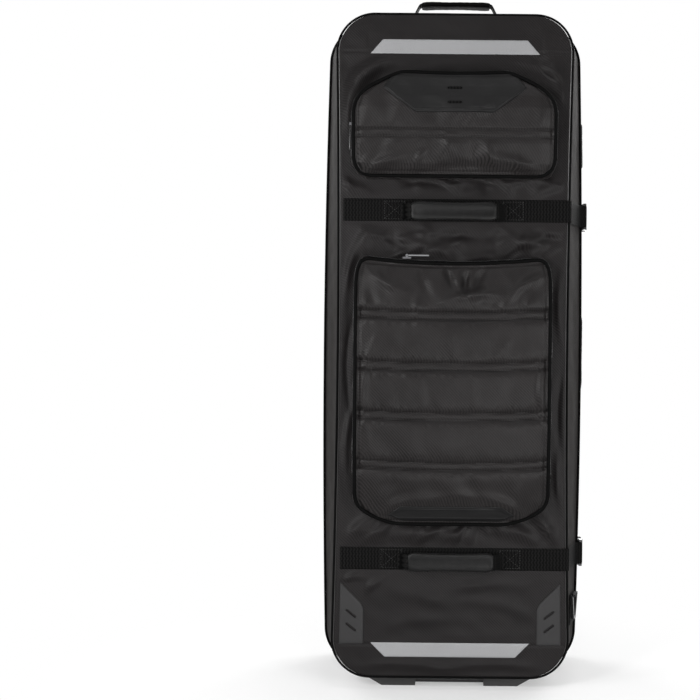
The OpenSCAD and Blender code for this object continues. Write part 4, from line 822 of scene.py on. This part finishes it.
def pocketLift(kind, x, z, edge):
    # how far the pocket's face stands out of its plain form: crown, sewn lines and folds
    if kind == "big":
        lift = 4.4 * (1 - np.exp(-edge / 24)) + 2.8 * creases(x, z, bigFolds) + 1.0 * softWaves(x, z, 71, 60)
        for line in quilts:
            bow = line - 5 * (1 - (x / 160) ** 2)
            pucker = np.sin(x / 2.6 + 3 * softWaves(x, 0 * x, int(line), 40))
            lift = lift + 0.32 * pucker * np.exp(-((np.abs(z - bow) - 13) / 7) ** 2)
            lift -= 4.6 * np.exp(-((z - bow) / 11) ** 2)
            for step in (-6.2, 6.2):
                lift -= 2.6 * np.exp(-((z - bow - step) / 2.2) ** 2)
    else:
        lift = 4.0 * (1 - np.exp(-edge / 20)) + 2.8 * creases(x, z, smallFolds) + 0.9 * softWaves(x, z, 72, 50)
        for line in smallRows:
            lift -= 1.6 * np.exp(-((z - line) / 1.8) ** 2)
        lift -= 1.6 * np.exp(-((z - 942) / 12) ** 2)
    lift -= 1.8 * np.exp(-((edge - 6.5) / 2.6) ** 2)
    return lift * np.clip(edge / 5, 0, 1)


def pocketFace(kind, x, share):
    spec = pockets[kind]
    half = formAt(spec, share, 1) * spec["width"] / 2 - 1.0
    edge = np.minimum(np.minimum(half - np.abs(x), share * spec["height"]), (1 - share) * spec["height"])
    z = spec["z"] + share * spec["height"]
    z = z - spec["sag"] * np.clip((share - 0.6) / 0.4, 0, 1) ** 2 * (1 - (x / half) ** 2)
    y = frontY - panelGap - formAt(spec, share, 2) * (spec["depth"] - panelGap)
    return np.stack([x, y - pocketLift(kind, x, z, np.maximum(edge, 0)), z], -1)


def pocketGrid(kind):
    spec = pockets[kind]
    t = np.linspace(-1, 1, spec["rows"])
    share = np.clip(0.5 + 0.5 * t * (1.2 - 0.2 * t * t), 0, 1)[:, None]
    t = np.linspace(-1, 1, spec["cols"])
    u = t * (1.2 - 0.2 * t * t)
    half = formAt(spec, share, 1) * spec["width"] / 2 - 1.0
    return pocketFace(kind, half * u, share + 0 * u)


def pocketWall(kind, loop, t):
    # a ring on the side of the pocket: t is 0 at the face's edge and 1 on the panel, and it puffs between
    spec = pockets[kind]
    ahead = unit(np.roll(loop, -1, 0) - np.roll(loop, 1, 0)) * np.array([1, 0, 1])
    outward = unit(np.cross(ahead, alongY))
    outward *= np.sign(np.sum(outward * (loop - loop.mean(0)), -1).mean())
    s = np.cumsum(np.linalg.norm(np.diff(loop, axis=0, prepend=loop[-1:]), axis=1))
    pleat = softWaves(s, 0 * s, 80, 13, 6) + 0.8 * softWaves(s, 0 * s, 82, 31, 6)
    puff = 3.0 + 1.5 * pleat * np.maximum(0, np.sin(s * math.pi / s[-1])) ** 0.2
    puff = puff * max(0.0, math.sin(math.pi * t)) ** 0.8 + 1.5 * t
    ring = loop + outward * puff[:, None]
    ring[:, 1] = loop[:, 1] + (frontY - panelGap - loop[:, 1]) * t
    ring[:, 2] = np.clip(ring[:, 2], spec["z"] - 4, None)
    return ring


def makePocket(kind):
    face = pocketGrid(kind)
    loop = edgeLoop(face)
    rings = [pocketWall(kind, loop, t) for t in np.linspace(0, 1, 16)[1:]]
    flat = face.copy()
    flat[..., 1] = frontY - panelGap
    piece = addPiece(kind + "Pocket", [walled(face, rings, flat)], "lid", pocketCloth,
                     [kind + "_pocket"])
    path = evenPath(loop, 2.2, closed=True)
    around = np.concatenate([path[-6:], path, path[:6]])  # the piping takes the corners as a running mean
    smooth = np.stack([np.convolve(around[:, k], np.ones(13) / 13, "valid") for k in range(3)], -1)
    edging = sweep(smooth - 0.4 * alongY, roundSection(3.1, 12), alongY, closed=True)
    addPiece(kind + "PocketPipe", [edging], "lid", pipeSkin)
    return loop


loops = {kind: makePocket(kind) for kind in pockets}
pocketZip = {"y": -128.4, "lowest": {"small": 905.0, "big": 372.0}, "tape": (13.0, 0.9), "pitch": 2.2,
             "tooth": (1.3, 4.4, 1.3), "lift": 1.3}


def zipRun(kind, loop):
    # the run of the zip over the top and both sides of a pocket, where the wall is deep enough
    t = np.clip((pocketZip["y"] - loop[:, 1]) / (frontY - panelGap - loop[:, 1]), 0.05, 0.95)
    rings = np.stack([pocketWall(kind, loop, share) for share in np.linspace(0, 1, 41)])
    k = np.clip(t * 40, 0, 39.99)
    low, pick = k.astype(int), np.arange(len(loop))
    path = rings[low, pick] * (1 - (k - low))[:, None] + rings[low + 1, pick] * (k - low)[:, None]
    return evenPath(openRun(path, path[:, 2] > pocketZip["lowest"][kind]), 3.0, soft=16)


for kind, loop in loops.items():
    path = zipRun(kind, loop)
    outward = outwardOf(path, alongY, loop.mean(0))
    tape = sweep(path + outward * 0.5, flatSection(*pocketZip["tape"], 8), alongY)
    teeth = teethRow(path, alongY, loop.mean(0), pocketZip["pitch"], pocketZip["tooth"], pocketZip["lift"])
    addPiece(kind + "ZipTape", [tape], "lid", zipTape)
    addPiece(kind + "ZipTeeth", [teeth], "lid", teethPlastic)
print("pockets made")

# rubber patches on the pockets, with a low rim
patches = {"small": {"form": [[.59, .38], [.64, .46], [.75, .61], [.83, .7], [.94, .63], [.985, .53]], "cols": 130,
                     "rows": 84},
           "big": {"form": [[.012, .5], [.035, .66], [.06, .56], [.07, .52]], "cols": 110, "rows": 30}}


def patchPart(kind):
    spec, form = pockets[kind], np.array(patches[kind]["form"])
    share = np.linspace(form[0, 0], form[-1, 0], patches[kind]["rows"])[:, None]
    half = np.interp(share, form[:, 0], form[:, 1]) * spec["width"] / 2
    u = np.linspace(-1, 1, patches[kind]["cols"])
    x = half * u
    face = pocketFace(kind, x, share + 0 * u)
    edge = np.minimum(np.minimum((half - np.abs(x)) * 0.8, (share - form[0, 0]) * spec["height"]),
                      (form[-1, 0] - share) * spec["height"])
    rise = 1.6 * np.clip(edge / 1.0, 0.35, 1) + 0.7 * np.exp(-((edge - 5.5) / 0.9) ** 2)
    top = face.copy()
    smooth = np.clip(edge / 12, 0, 1)
    plane = frontY - panelGap - formAt(spec, share + 0 * u, 2) * (spec["depth"] - panelGap) - 2.6
    top[..., 1] = np.minimum(face[..., 1], plane * smooth + face[..., 1] * (1 - smooth)) - rise
    under = face.copy()
    under[..., 1] += 1.0
    return walled(top, [], under)


def slotCutter(x, y, z, width, height, turn=0.0, depth=30.0):
    # a slot with round ends, cut straight back through a rubber piece
    a = np.linspace(0, 2 * math.pi, 28, endpoint=False)
    r = height / 2
    px = r * np.cos(a) + np.sign(np.cos(a) + 1e-9) * (width / 2 - r)
    pz = r * np.sin(a)
    c, s = math.cos(math.radians(turn)), math.sin(math.radians(turn))
    ring = np.stack([x + px * c - pz * s, 0 * px + y, z + px * s + pz * c], -1)
    return prism(ring, -depth * alongY, depth * alongY)


slots = {"heights": [991.5, 1016.0], "width": 25.0, "height": 4.6, "play": 0.2}
patch = addPiece("smallPatch", [patchPart("small")], "lid", rubberGrey, ["pocket_patches"])
cutAway(patch, [slotCutter(0, -150, z, slots["width"], slots["height"]) for z in slots["heights"]])
slotShadeFloors, inner = [], [slots[k] - slots["play"] for k in ("width", "height")]
for z in slots["heights"]:  # black cloth shows in the slots, in a stuff darker than the pocket's cloth round them: painted shade that deepens the slots
    share = (z - pockets["small"]["z"]) / pockets["small"]["height"]
    behind = pocketFace("small", np.zeros(1), np.full(1, share))[0, 1]
    slotShadeFloors.append(slotCutter(0, behind, z, *inner, depth=0.9))
addPiece("slotShadeFloors", slotShadeFloors, "lid", webTape)
addPiece("bigPatch", [patchPart("big")], "lid", rubberGrey, ["pocket_patches"])

# rubber guards at the lower corners
z = np.linspace(0, guard["height"], 60)[:, None]
outerX = guard["outer"] - 1.5 * z / guard["height"]
innerX = np.interp(z, [0, 2, 59.3, 69.7, 104], [149, 147, 147, 151.2, 186.2])
u = np.linspace(0, 1, 36)
x = innerX + (outerX - innerX) * u
edge = np.minimum(np.minimum((x - innerX) * 0.75, outerX - x), np.minimum(z + 0 * x, guard["height"] - z))
rise = guard["thick"] * (0.35 + 0.65 * (1 - np.exp(-np.maximum(edge, 0) / 1.2)))
top = np.stack([x, frontY - panelGap - rise, z + guard["z"] + 0 * x], -1)
under = np.stack([x, 0 * x + frontY + 1.2, z + guard["z"] + 0 * x], -1)
guardPart = walled(top, [], under)
guardPiece = addPiece("cornerGuards", [guardPart, mirrored(guardPart)], "lid", guardRubber,
                      ["corner_guards"])
cuts = [slotCutter(168, frontY, guard["z"] + guard["height"] * k, 22, 4.6, 38, 12) for k in (0.28, 0.5)]
cutAway(guardPiece, cuts + [mirrored(c) for c in cuts])


# light strips with slanted ends
def stripPart(z, low, top):
    height, u, v = strips["height"], np.linspace(-1, 1, 120), np.linspace(-0.5, 0.5, 16)[:, None]
    half = (low + (top - low) * (v + 0.5)) / 2
    x = half * u
    wave = 0.25 * softWaves(x, v * height, int(z), 60)
    edge = np.minimum(half - np.abs(x), (0.5 - np.abs(v)) * height)
    y = frontY - 0.5 - 0.8 * np.clip(edge / 0.8, 0.3, 1) - wave * np.clip(edge / 6, 0, 1)
    face = np.stack([x, y, z + v * height + 0 * x], -1)
    under = face.copy()
    under[..., 1] = frontY + 1.6
    return walled(face, [], under)


addPiece("lightStrips", [stripPart(*row) for row in strips["rows"]], "lid", stripTape,
         ["reflective_strips"])
print("front trim made")


# ---- straps ----
web = {"width": 38.0, "thick": 1.6, "buckleY": 0.0, "lift": 5.4, "buckle": 8.0}
plugY, barFront, barWidth = 8.9, -29.0, 3.5


def strapPoint(z, y, out):
    return sideLocal(web["buckleY"], z, [wallX(y, z) + out, y, z])[:2]


def lidStrapPath(z):
    lift, over = web["thick"] / 2 + 0.7, 4 + web["thick"] / 2 + 0.6
    loopOut, loopIn = web["lift"] + web["buckle"] - 2.5 + 1.1, web["lift"] + 1.5 - 1.1
    loopY = barFront + barWidth + 1.4
    wide = [wallX(frontY + 6, z) - wallX(frontY + d, z) for d in (0, 5)]  # the piping stands on the wider outline
    flat = [strapPoint(z, frontY - 1.2, over + wide[0]), strapPoint(z, frontY + 5, over + wide[1]),
            strapPoint(z, frontY + 12, lift + 0.4), strapPoint(z, (frontY + seamY) / 2, lift + 0.4),
            strapPoint(z, seamY - 12, lift), strapPoint(z, seamY - 5, over), [loopOut, barFront - 2], [loopOut, loopY],
            [loopIn, loopY], [loopIn, barFront - 0.5]]
    side = sidePoint(web["buckleY"], z, [[p[0], p[1], 0] for p in flat])
    start = [[-187.5, frontY - 1.1, z], [-60, frontY - 1.3, z], [60, frontY - 1.3, z], [176, frontY - 1.2, z],
             [190, frontY - 2.2, z]]
    return np.concatenate([start, side])


def baseStrapPath(z):
    ladder, under, over = plugY + 11, web["lift"] + 2 - 1.1, web["lift"] + 6 + 1.1
    flat = [strapPoint(z, backY - 6, 1.5), strapPoint(z, plugY + 36, 1.5), [under, plugY + 24], [under, ladder + 5.6],
            [over, ladder + 5.2], [over, ladder - 2.1], [under + 1, ladder - 2.1]]
    return sidePoint(web["buckleY"], z, [[p[0], p[1], 0] for p in flat])


def ribbon(points, soft=5.0):
    return sweep(evenPath(points, 1.6, soft=soft), flatSection(web["width"], web["thick"], 14), alongZ)


def sewnBox(a, b, low, high):  # a stitched box with a cross, as two lines of flat points
    return [evenPath([[a, low], [b, low], [b, high], [a, high], [a, low], [b, high]], 1.0),
            evenPath([[a, high], [b, low]], 1.0)]


addPiece("lidStraps", [ribbon(lidStrapPath(z)) for z in strapZ.values()], "lid", webTape, ["lid_straps"])
addPiece("baseStraps", [ribbon(baseStrapPath(z), 3.5) for z in strapZ.values()], "case", webTape,
         ["base_straps"])

# the straps are sewn to the panel beside each grip
lines = [stitchRow(np.insert(line, 1, frontY - 2.2, axis=1), -alongY) for z in strapZ.values() for s in (-1, 1)
         for line in sewnBox(s * 83.0, s * 118.0, z - 15, z + 15)]
addPiece("strapThread", lines, "lid", threadPale)
print("straps made")


# ---- seam threads ----
def facePath(kind, z, half):  # a sewn line across a pocket, sagging on the big one
    x, spec = np.linspace(-half, half, 160), pockets[kind]
    share = (z - 5 * (1 - (x / 160) ** 2) * (kind == "big") - spec["z"]) / spec["height"]
    return pocketFace(kind, x, share) - 0.25 * alongY


threads = [stitchRow(facePath("big", line + step, 156), -alongY) for line in quilts for step in (-6.2, 6.2)]
threads += [stitchRow(facePath("small", line, 164), -alongY) for line in smallRows]
addPiece("pocketThread", threads, "lid", threadDark)


def panelPath(points):
    x, z = points[:, 0], points[:, 2]
    gap = edgeGap(x, z - body["midZ"], float(halfWidth(frontY)) - 6, body["height"] / 2, body["corner"])
    points[:, 1] = frontY - panelLift(x, z, gap) - 0.4
    return points


seams = []
for z, half in ((panel["seamHigh"] + 4, 184), (panel["seamHigh"] - 4, 184), (panel["seamLow"] - 4, 140)):
    run = np.stack([np.linspace(-half, half, 200), np.zeros(200), np.full(200, z)], -1)
    seams.append(stitchRow(panelPath(run), -alongY))
addPiece("panelThread", seams, "lid", threadDark)
print("threads made")


# ---- handles ----
grips = {"side": {"z": 577.0, "length": 133.0, "width": 34.0, "out": 15.0, "reach": 26.0},
         "top": {"length": 124.0, "width": 34.0, "out": 66.0, "reach": 38.0},
         "front": {"length": 142.0, "width": 32.0, "out": 24.3, "reach": 20.0}}
gripThick, tabThick, webEnd = 10.0, 2.0, 2.4


def gripParts(kind, seed):
    # along x, with the wall at z = 0: a padded roll that narrows at both bound ends, and two webbing ends
    g = grips[kind]
    half = g["length"] / 2
    t = np.linspace(-1, 1, 90)
    size = 1 - 0.16 * np.clip((np.abs(t) - 0.86) / 0.14, 0, 1) ** 1.5
    size *= 1 - 0.05 * np.exp(-((np.abs(t) - 0.9) / 0.012) ** 2) + 0.012 * np.sin(t * 31 + seed)
    size[[0, -1]] *= 0.9
    size -= 0.09 * np.clip(1 - (t / 0.8) ** 2, 0, 1)
    path = np.stack([t * half, 0 * t, g["out"] - gripThick / 2 - 1.2 * t ** 4], -1)
    points, faces = sweep(path, padSection(g["width"], gripThick, 44, 0.52), alongY, size=size)
    px, py, pz = points.T
    angle = np.arctan2(pz - (g["out"] - gripThick / 2), py)
    hollow = 1.5 * np.exp(-(py / (0.27 * g["width"])) ** 2) * np.clip(np.sin(angle), 0, 1)
    hollow = hollow * np.clip((half - np.abs(px)) / 8, 0, 1) - 0.2 * softWaves(px, py * 0.2, seed, 45)
    points = points - hollow[:, None] * alongZ
    low, high, reach = webEnd / 2 + tabThick + 0.4, g["out"] - gripThick / 2, g["reach"]
    ends = []
    for s in (-1, 1):
        run = [[s * (half + x), 0, z] for x, z in ((-5, high), (3, high), (reach - 6, low), (reach, low))]
        ends.append(sweep(evenPath(run, 1.0, soft=6), flatSection(g["width"] - 5, webEnd, 12), alongY))
    return (points, faces), ends


def place(part, origin, axes):  # puts a part's own x, y and z along three given directions
    points, faces = part
    return np.asarray(origin, float) + points @ np.asarray(axes, float), faces


def wallAxes(y, z, ways):  # an origin on the right wall, and three ways that turn with the wall
    start, *ends = (sidePoint(y, z, way) for way in ([0, 0, 0], *ways))
    return start, [end - start for end in ends]


# a side handle's length goes down the wall, its width to the back and its height out of the wall
downWall = ([0, 0, -1], [0, 1, 0], [1, 0, 0])
frontAxes = [[1, 0, 0], [0, 0, 1], [0, -1, 0]]
handleY = baseY + 61
handleSet = {
    "side_grip": ("sideGrip", "side", *wallAxes(handleY, grips["side"]["z"], downWall), "case", 91),
    "top_grip": ("topGrip", "top", [0, handleY, highZ], np.eye(3), "case", 92),
    "front_grip_upper": ("upperGrip", "front", [0, frontY - 1.7, strapZ["upper"] - 3], frontAxes, "lid", 93),
    "front_grip_lower": ("lowerGrip", "front", [0, frontY - 1.7, strapZ["lower"] - 3], frontAxes, "lid", 94)}
for node, (name, kind, origin, axes, parent, seed) in handleSet.items():
    roll, ends = gripParts(kind, seed)
    skin = gripCloth if kind == "front" else handleCloth
    piece = addPiece(name, [place(roll, origin, axes)], node, skin, [node])
    half, reach = grips[kind]["length"] / 2, grips[kind]["reach"]
    for s, where, end in zip((-1, 1), ("NearEnd", "FarEnd"), ends):
        strip = addPiece(name + where, [place(end, origin, axes)], None, webTape)
        tips = np.array([[s * (half + reach - 8), 0, 0], [s * (half + 1.0), 0, 0]])
        tips = place((tips, None), origin, axes)[0] * mm
        tuple(tips[0])
        tuple(tips[1])
        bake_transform(strip)


def tabPart(length, width, thick, origin, axes):
    # a sewn tab lying on a wall, its edges rolled over, with a stitched box
    x, y = roundedGrid(length / 2, width / 2, 4.0, 24, 22)
    gap = edgeGap(x, y, length / 2, width / 2, 4.0)
    top = np.stack([x, y, 0.1 + thick * np.clip(0.45 + gap / 1.6, 0, 1) + 0.15 * softWaves(x, y, 5, 14)], -1)
    under = np.stack([x, y, 0 * x - 0.6], -1)
    a, b = length / 2 - 4, width / 2 - 4
    lines = [np.insert(line, 2, thick + 0.25, axis=1) for line in sewnBox(-a, a, -b, b)]
    rows = [stitchRow(place((line, None), origin, axes)[0], axes[2], 3.4, 2.4) for line in lines]
    return place(walled(top, [], under), origin, axes), rows


tab = {"length": 38.0, "width": 41.0, "under": 18.0}
tabs, tabThreads = [], []
for s in (-1, 1):
    side, top = (s * (grips[kind]["length"] / 2 + grips[kind]["reach"] + tab["length"] / 2 - tab["under"])
                 for kind in ("side", "top"))
    for origin, axes in (wallAxes(handleY, grips["side"]["z"] + side, downWall), ([top, handleY, highZ], np.eye(3))):
        part, rows = tabPart(tab["length"], tab["width"], tabThick, origin, axes)
        tabs.append(part)
        tabThreads += rows
addPiece("handleTabs", tabs, "case", webTape, ["handle_tabs"])
print("handles made")


# ---- D-ring tabs ----
ring = {"lift": 5.0, "bar": 2.4, "tab": 1.8, "loop": 32.0, "band": 1.5,
        "upper": {"y": baseY + 58, "z": 1029.0, "plate": 42.0, "centre": 22.0, "turn": 1},
        "lower": {"y": seamY - 27, "z": 156.0, "plate": 54.0, "centre": -24.0, "turn": -1}}


def ringTab(which, rides):
    # webbing round the bar of the ring, its neck down to the wall, and a sewn plate to one side
    at = ring[which]
    r, band = ring["bar"] + 0.95, flatSection(ring["loop"], ring["band"], 12)
    angle = np.radians(np.linspace(0, 360, 40, endpoint=False))
    loop = np.stack([ring["lift"] + r * np.cos(angle), 0 * angle, r * np.sin(angle)], -1)
    neck = [[ring["lift"] * 0.55, 0, 0], [ring["lift"] * 0.35, 0, at["turn"] * 5.0], [0.9, 0, at["turn"] * 11.0]]
    origin, axes = wallAxes(at["y"], at["z"], np.eye(3))
    parts = [place(sweep(loop, band, alongY, closed=True), origin, axes),
             place(sweep(evenPath(neck, 1.0, soft=3), band, alongY), origin, axes)]
    middle = sidePoint(at["y"], at["z"], [0, 0, at["centre"]])
    part, rows = tabPart(at["plate"], tab["width"], ring["tab"], middle, axes[::-1])
    addPiece("ringTab" + which.title(), parts + [part], rides, webTape, ["d_ring_tab_" + which])
    return rows


tabThreads += ringTab("upper", "case")
addPiece("tabThread", tabThreads, "case", threadDark)
addPiece("ringTabThread", ringTab("lower", "lid"), "lid", threadDark)

# a cord loop with a moulded end on the small pocket's slider
small = pockets["small"]
pullAt = np.array([-175.9, frontY - 0.4 * small["depth"], small["z"] + 0.5 * small["height"]])
loopPath = np.array([[0, 0.9, -24], [0, 1.1, -14], [0.1, 1.3, -6], [0, 1.5, -1.5], [0, 1.0, 1.2], [0, 0, 2.0],
                     [0, -1.0, 1.2], [0, -1.5, -1.5], [0, -1.3, -6], [0, -1.1, -14], [0, -0.9, -24]])
cordPart = sweep(evenPath(loopPath, 0.7, soft=2.5) + pullAt, roundSection(0.75, 10), alongX)
t = np.linspace(-1, 1, 24)
taper = (1 - 0.5 * np.abs(t) ** 6) * (1 - 0.1 * np.sin(t * 18) ** 2)
tipPart = sweep(pullAt + (11.5 * t - 32)[:, None] * alongZ, padSection(5.4, 3.4, 24, 0.7), alongY, size=taper)
addPiece("smallPull", [cordPart, tipPart], "small_pocket_pull", glossBlack, ["small_pocket_pull"])
print("ring tabs and pulls made")


# ---- finishes of the rigid nodes ----
finishes = (
    (mouldedBlack, "wheel_housing_left wheel_housing_right front_foot"),
    (darkSteel, "housing_screws foot_screws pocket_sliders key_barrel"),
    (brightSteel, "wheel_axles wheel_bearings_left wheel_bearings_right"),
    (glossBlack, "buckle_plugs buckle_sockets buckle_arm_upper_a buckle_arm_upper_b buckle_arm_lower_a "
                 "buckle_arm_lower_b side_stud d_ring_upper d_ring_lower"),
    (lockBlack, "lock_body zip_sliders zip_pull_upper zip_pull_lower"), (rubberGrey, "side_feet"),
    (silverMetal, "big_pocket_pull"), (boardGrey, "back_board"), (hubBlack, "wheel_hub_left wheel_hub_right"),
    (tyreRubber, "wheel_tyre_left wheel_tyre_right"), (dialGrey, "dial_upper dial_middle dial_lower"),
    (buttonBlack, "lock_button"))
for material, names in finishes:
    for name in names.split():
        mesh = nodes[name].data
        mesh.materials.clear()
        mesh.materials.append(material)
print("finishes given")


# ---- floor, light and camera ----
def whenSeen(tree):  # 1 for what the camera sees straight, in a gloss or through a clear piece
    path = tree.nodes.new("ShaderNodeLightPath").outputs
    both = calc(tree, "ADD", path["Is Camera Ray"], path["Is Glossy Ray"])
    return calc(tree, "MINIMUM", calc(tree, "ADD", both, path["Is Transmission Ray"]), 1.0)


studio = {"ambient": 0.09, "white": 1.0, "floor": (0.86, 0.86, 0.86)}
floorPaint, tree, shader, place = newMaterial("floorPaint", Roughness=0.95, Specular_IOR_Level=0.05)
shader.inputs["Base Color"].default_value = (*studio["floor"], 1)
# the floor glows white where it is seen away from the object, so that only the contact shadow stays
glow = tree.nodes.new("ShaderNodeEmission")
blendIn = tree.nodes.new("ShaderNodeMixShader")
distance = tree.nodes.new("ShaderNodeVectorMath")
distance.operation = "LENGTH"
wire(tree, distance.inputs[0], place)
ramp = tree.nodes.new("ShaderNodeMapRange")
ramp.interpolation_type = "SMOOTHSTEP"
for label, value in (("From Min", 0.22), ("From Max", 0.75), ("To Min", 0.35), ("To Max", 1.0)):
    ramp.inputs[label].default_value = value
wire(tree, ramp.inputs["Value"], distance.outputs["Value"])
wire(tree, blendIn.inputs[0], calc(tree, "MULTIPLY", ramp.outputs[0], whenSeen(tree)))
tree.links.new(shader.outputs[0], blendIn.inputs[1])
tree.links.new(glow.outputs[0], blendIn.inputs[2])
tree.links.new(blendIn.outputs[0], tree.nodes["Material Output"].inputs["Surface"])
floorMesh = bpy.data.meshes.new("floor")
floorMesh.from_pydata([(-30, -30, 0), (30, -30, 0), (30, 30, 0), (-30, 30, 0)], [], [(0, 1, 2, 3)])
floor = bpy.data.objects.new("floor", floorMesh)
bpy.context.scene.collection.objects.link(floor)
floorMesh.materials.append(floorPaint)

world = bpy.data.worlds.new("studio")
bpy.context.scene.world = world
world.use_nodes = True
tree = world.node_tree
wire(tree, tree.nodes["Background"].inputs["Strength"],
     calc(tree, "MULTIPLY_ADD", whenSeen(tree), studio["white"] - studio["ambient"], studio["ambient"]))
tree.nodes["Background"].inputs["Color"].default_value = (1, 1, 1, 1)

lamps = {"nearLeft": {"from": (-0.8, -1.6, 0.95), "size": 0.3, "power": 15.0},
         "nearRight": {"from": (0.9, -1.6, 0.5), "size": 0.3, "power": 11.0},
         "key": {"from": (-1.6, -1.3, 0.65), "size": 0.5, "power": 22.0},
         "fill": {"from": (1.7, -1.2, 0.4), "size": 0.5, "power": 14.0},
         "low": {"from": (0.1, -1.5, 0.1), "size": 0.4, "power": 8.0},
         "top": {"from": (0.2, -1.0, 2.3), "size": 0.5, "power": 6.0},
         "right": {"from": (2.1, 1.5, 2.3), "size": 2.2, "power": 62.0},
         "left": {"from": (-2.1, 1.7, 2.1), "size": 2.2, "power": 60.0},
         "behind": {"from": (0.9, 2.9, 0.9), "size": 2.4, "power": 55.0}}
aim = np.array([0, 0, 0.6])
for name, lamp in lamps.items():
    data = bpy.data.lights.new(name, "AREA")
    data.energy, data.size = lamp["power"], lamp["size"]
    light = bpy.data.objects.new(name, data)
    bpy.context.scene.collection.objects.link(light)
    light.location = lamp["from"]
    back = Vector(lamp["from"]) - Vector(aim)
    light.rotation_euler = back.to_track_quat("Z", "Y").to_euler()

# the photograph's scale is 1.70 mm to a pixel at the front panel, seen from about 2.2 m; the object stands
# right of the middle of the picture and leans a little
view = {"distance": 2.2, "scale": 1.70, "frame": 700, "centreX": 452.5, "height": 580.0, "roll": 0.56}
camera = bpy.data.objects.new("camera", bpy.data.cameras.new("camera"))
bpy.context.scene.collection.objects.link(camera)
camera.data.lens = 18 / (view["scale"] * view["frame"] / 2 * mm / view["distance"])
camera.data.clip_end = 60
camera.data.shift_x = (view["frame"] / 2 - view["centreX"]) / view["frame"]
camera.location = Vector((0, frontY * mm - view["distance"], view["height"] * mm))
camera.rotation_mode = "QUATERNION"
camera.rotation_quaternion = (Vector((0, 1, 0)).to_track_quat("-Z", "Y")
                              @ Quaternion((0, 0, 1), math.radians(view["roll"])))
bpy.context.scene.camera = camera
bpy.context.scene.view_settings.view_transform = "Standard"
print("scene set")
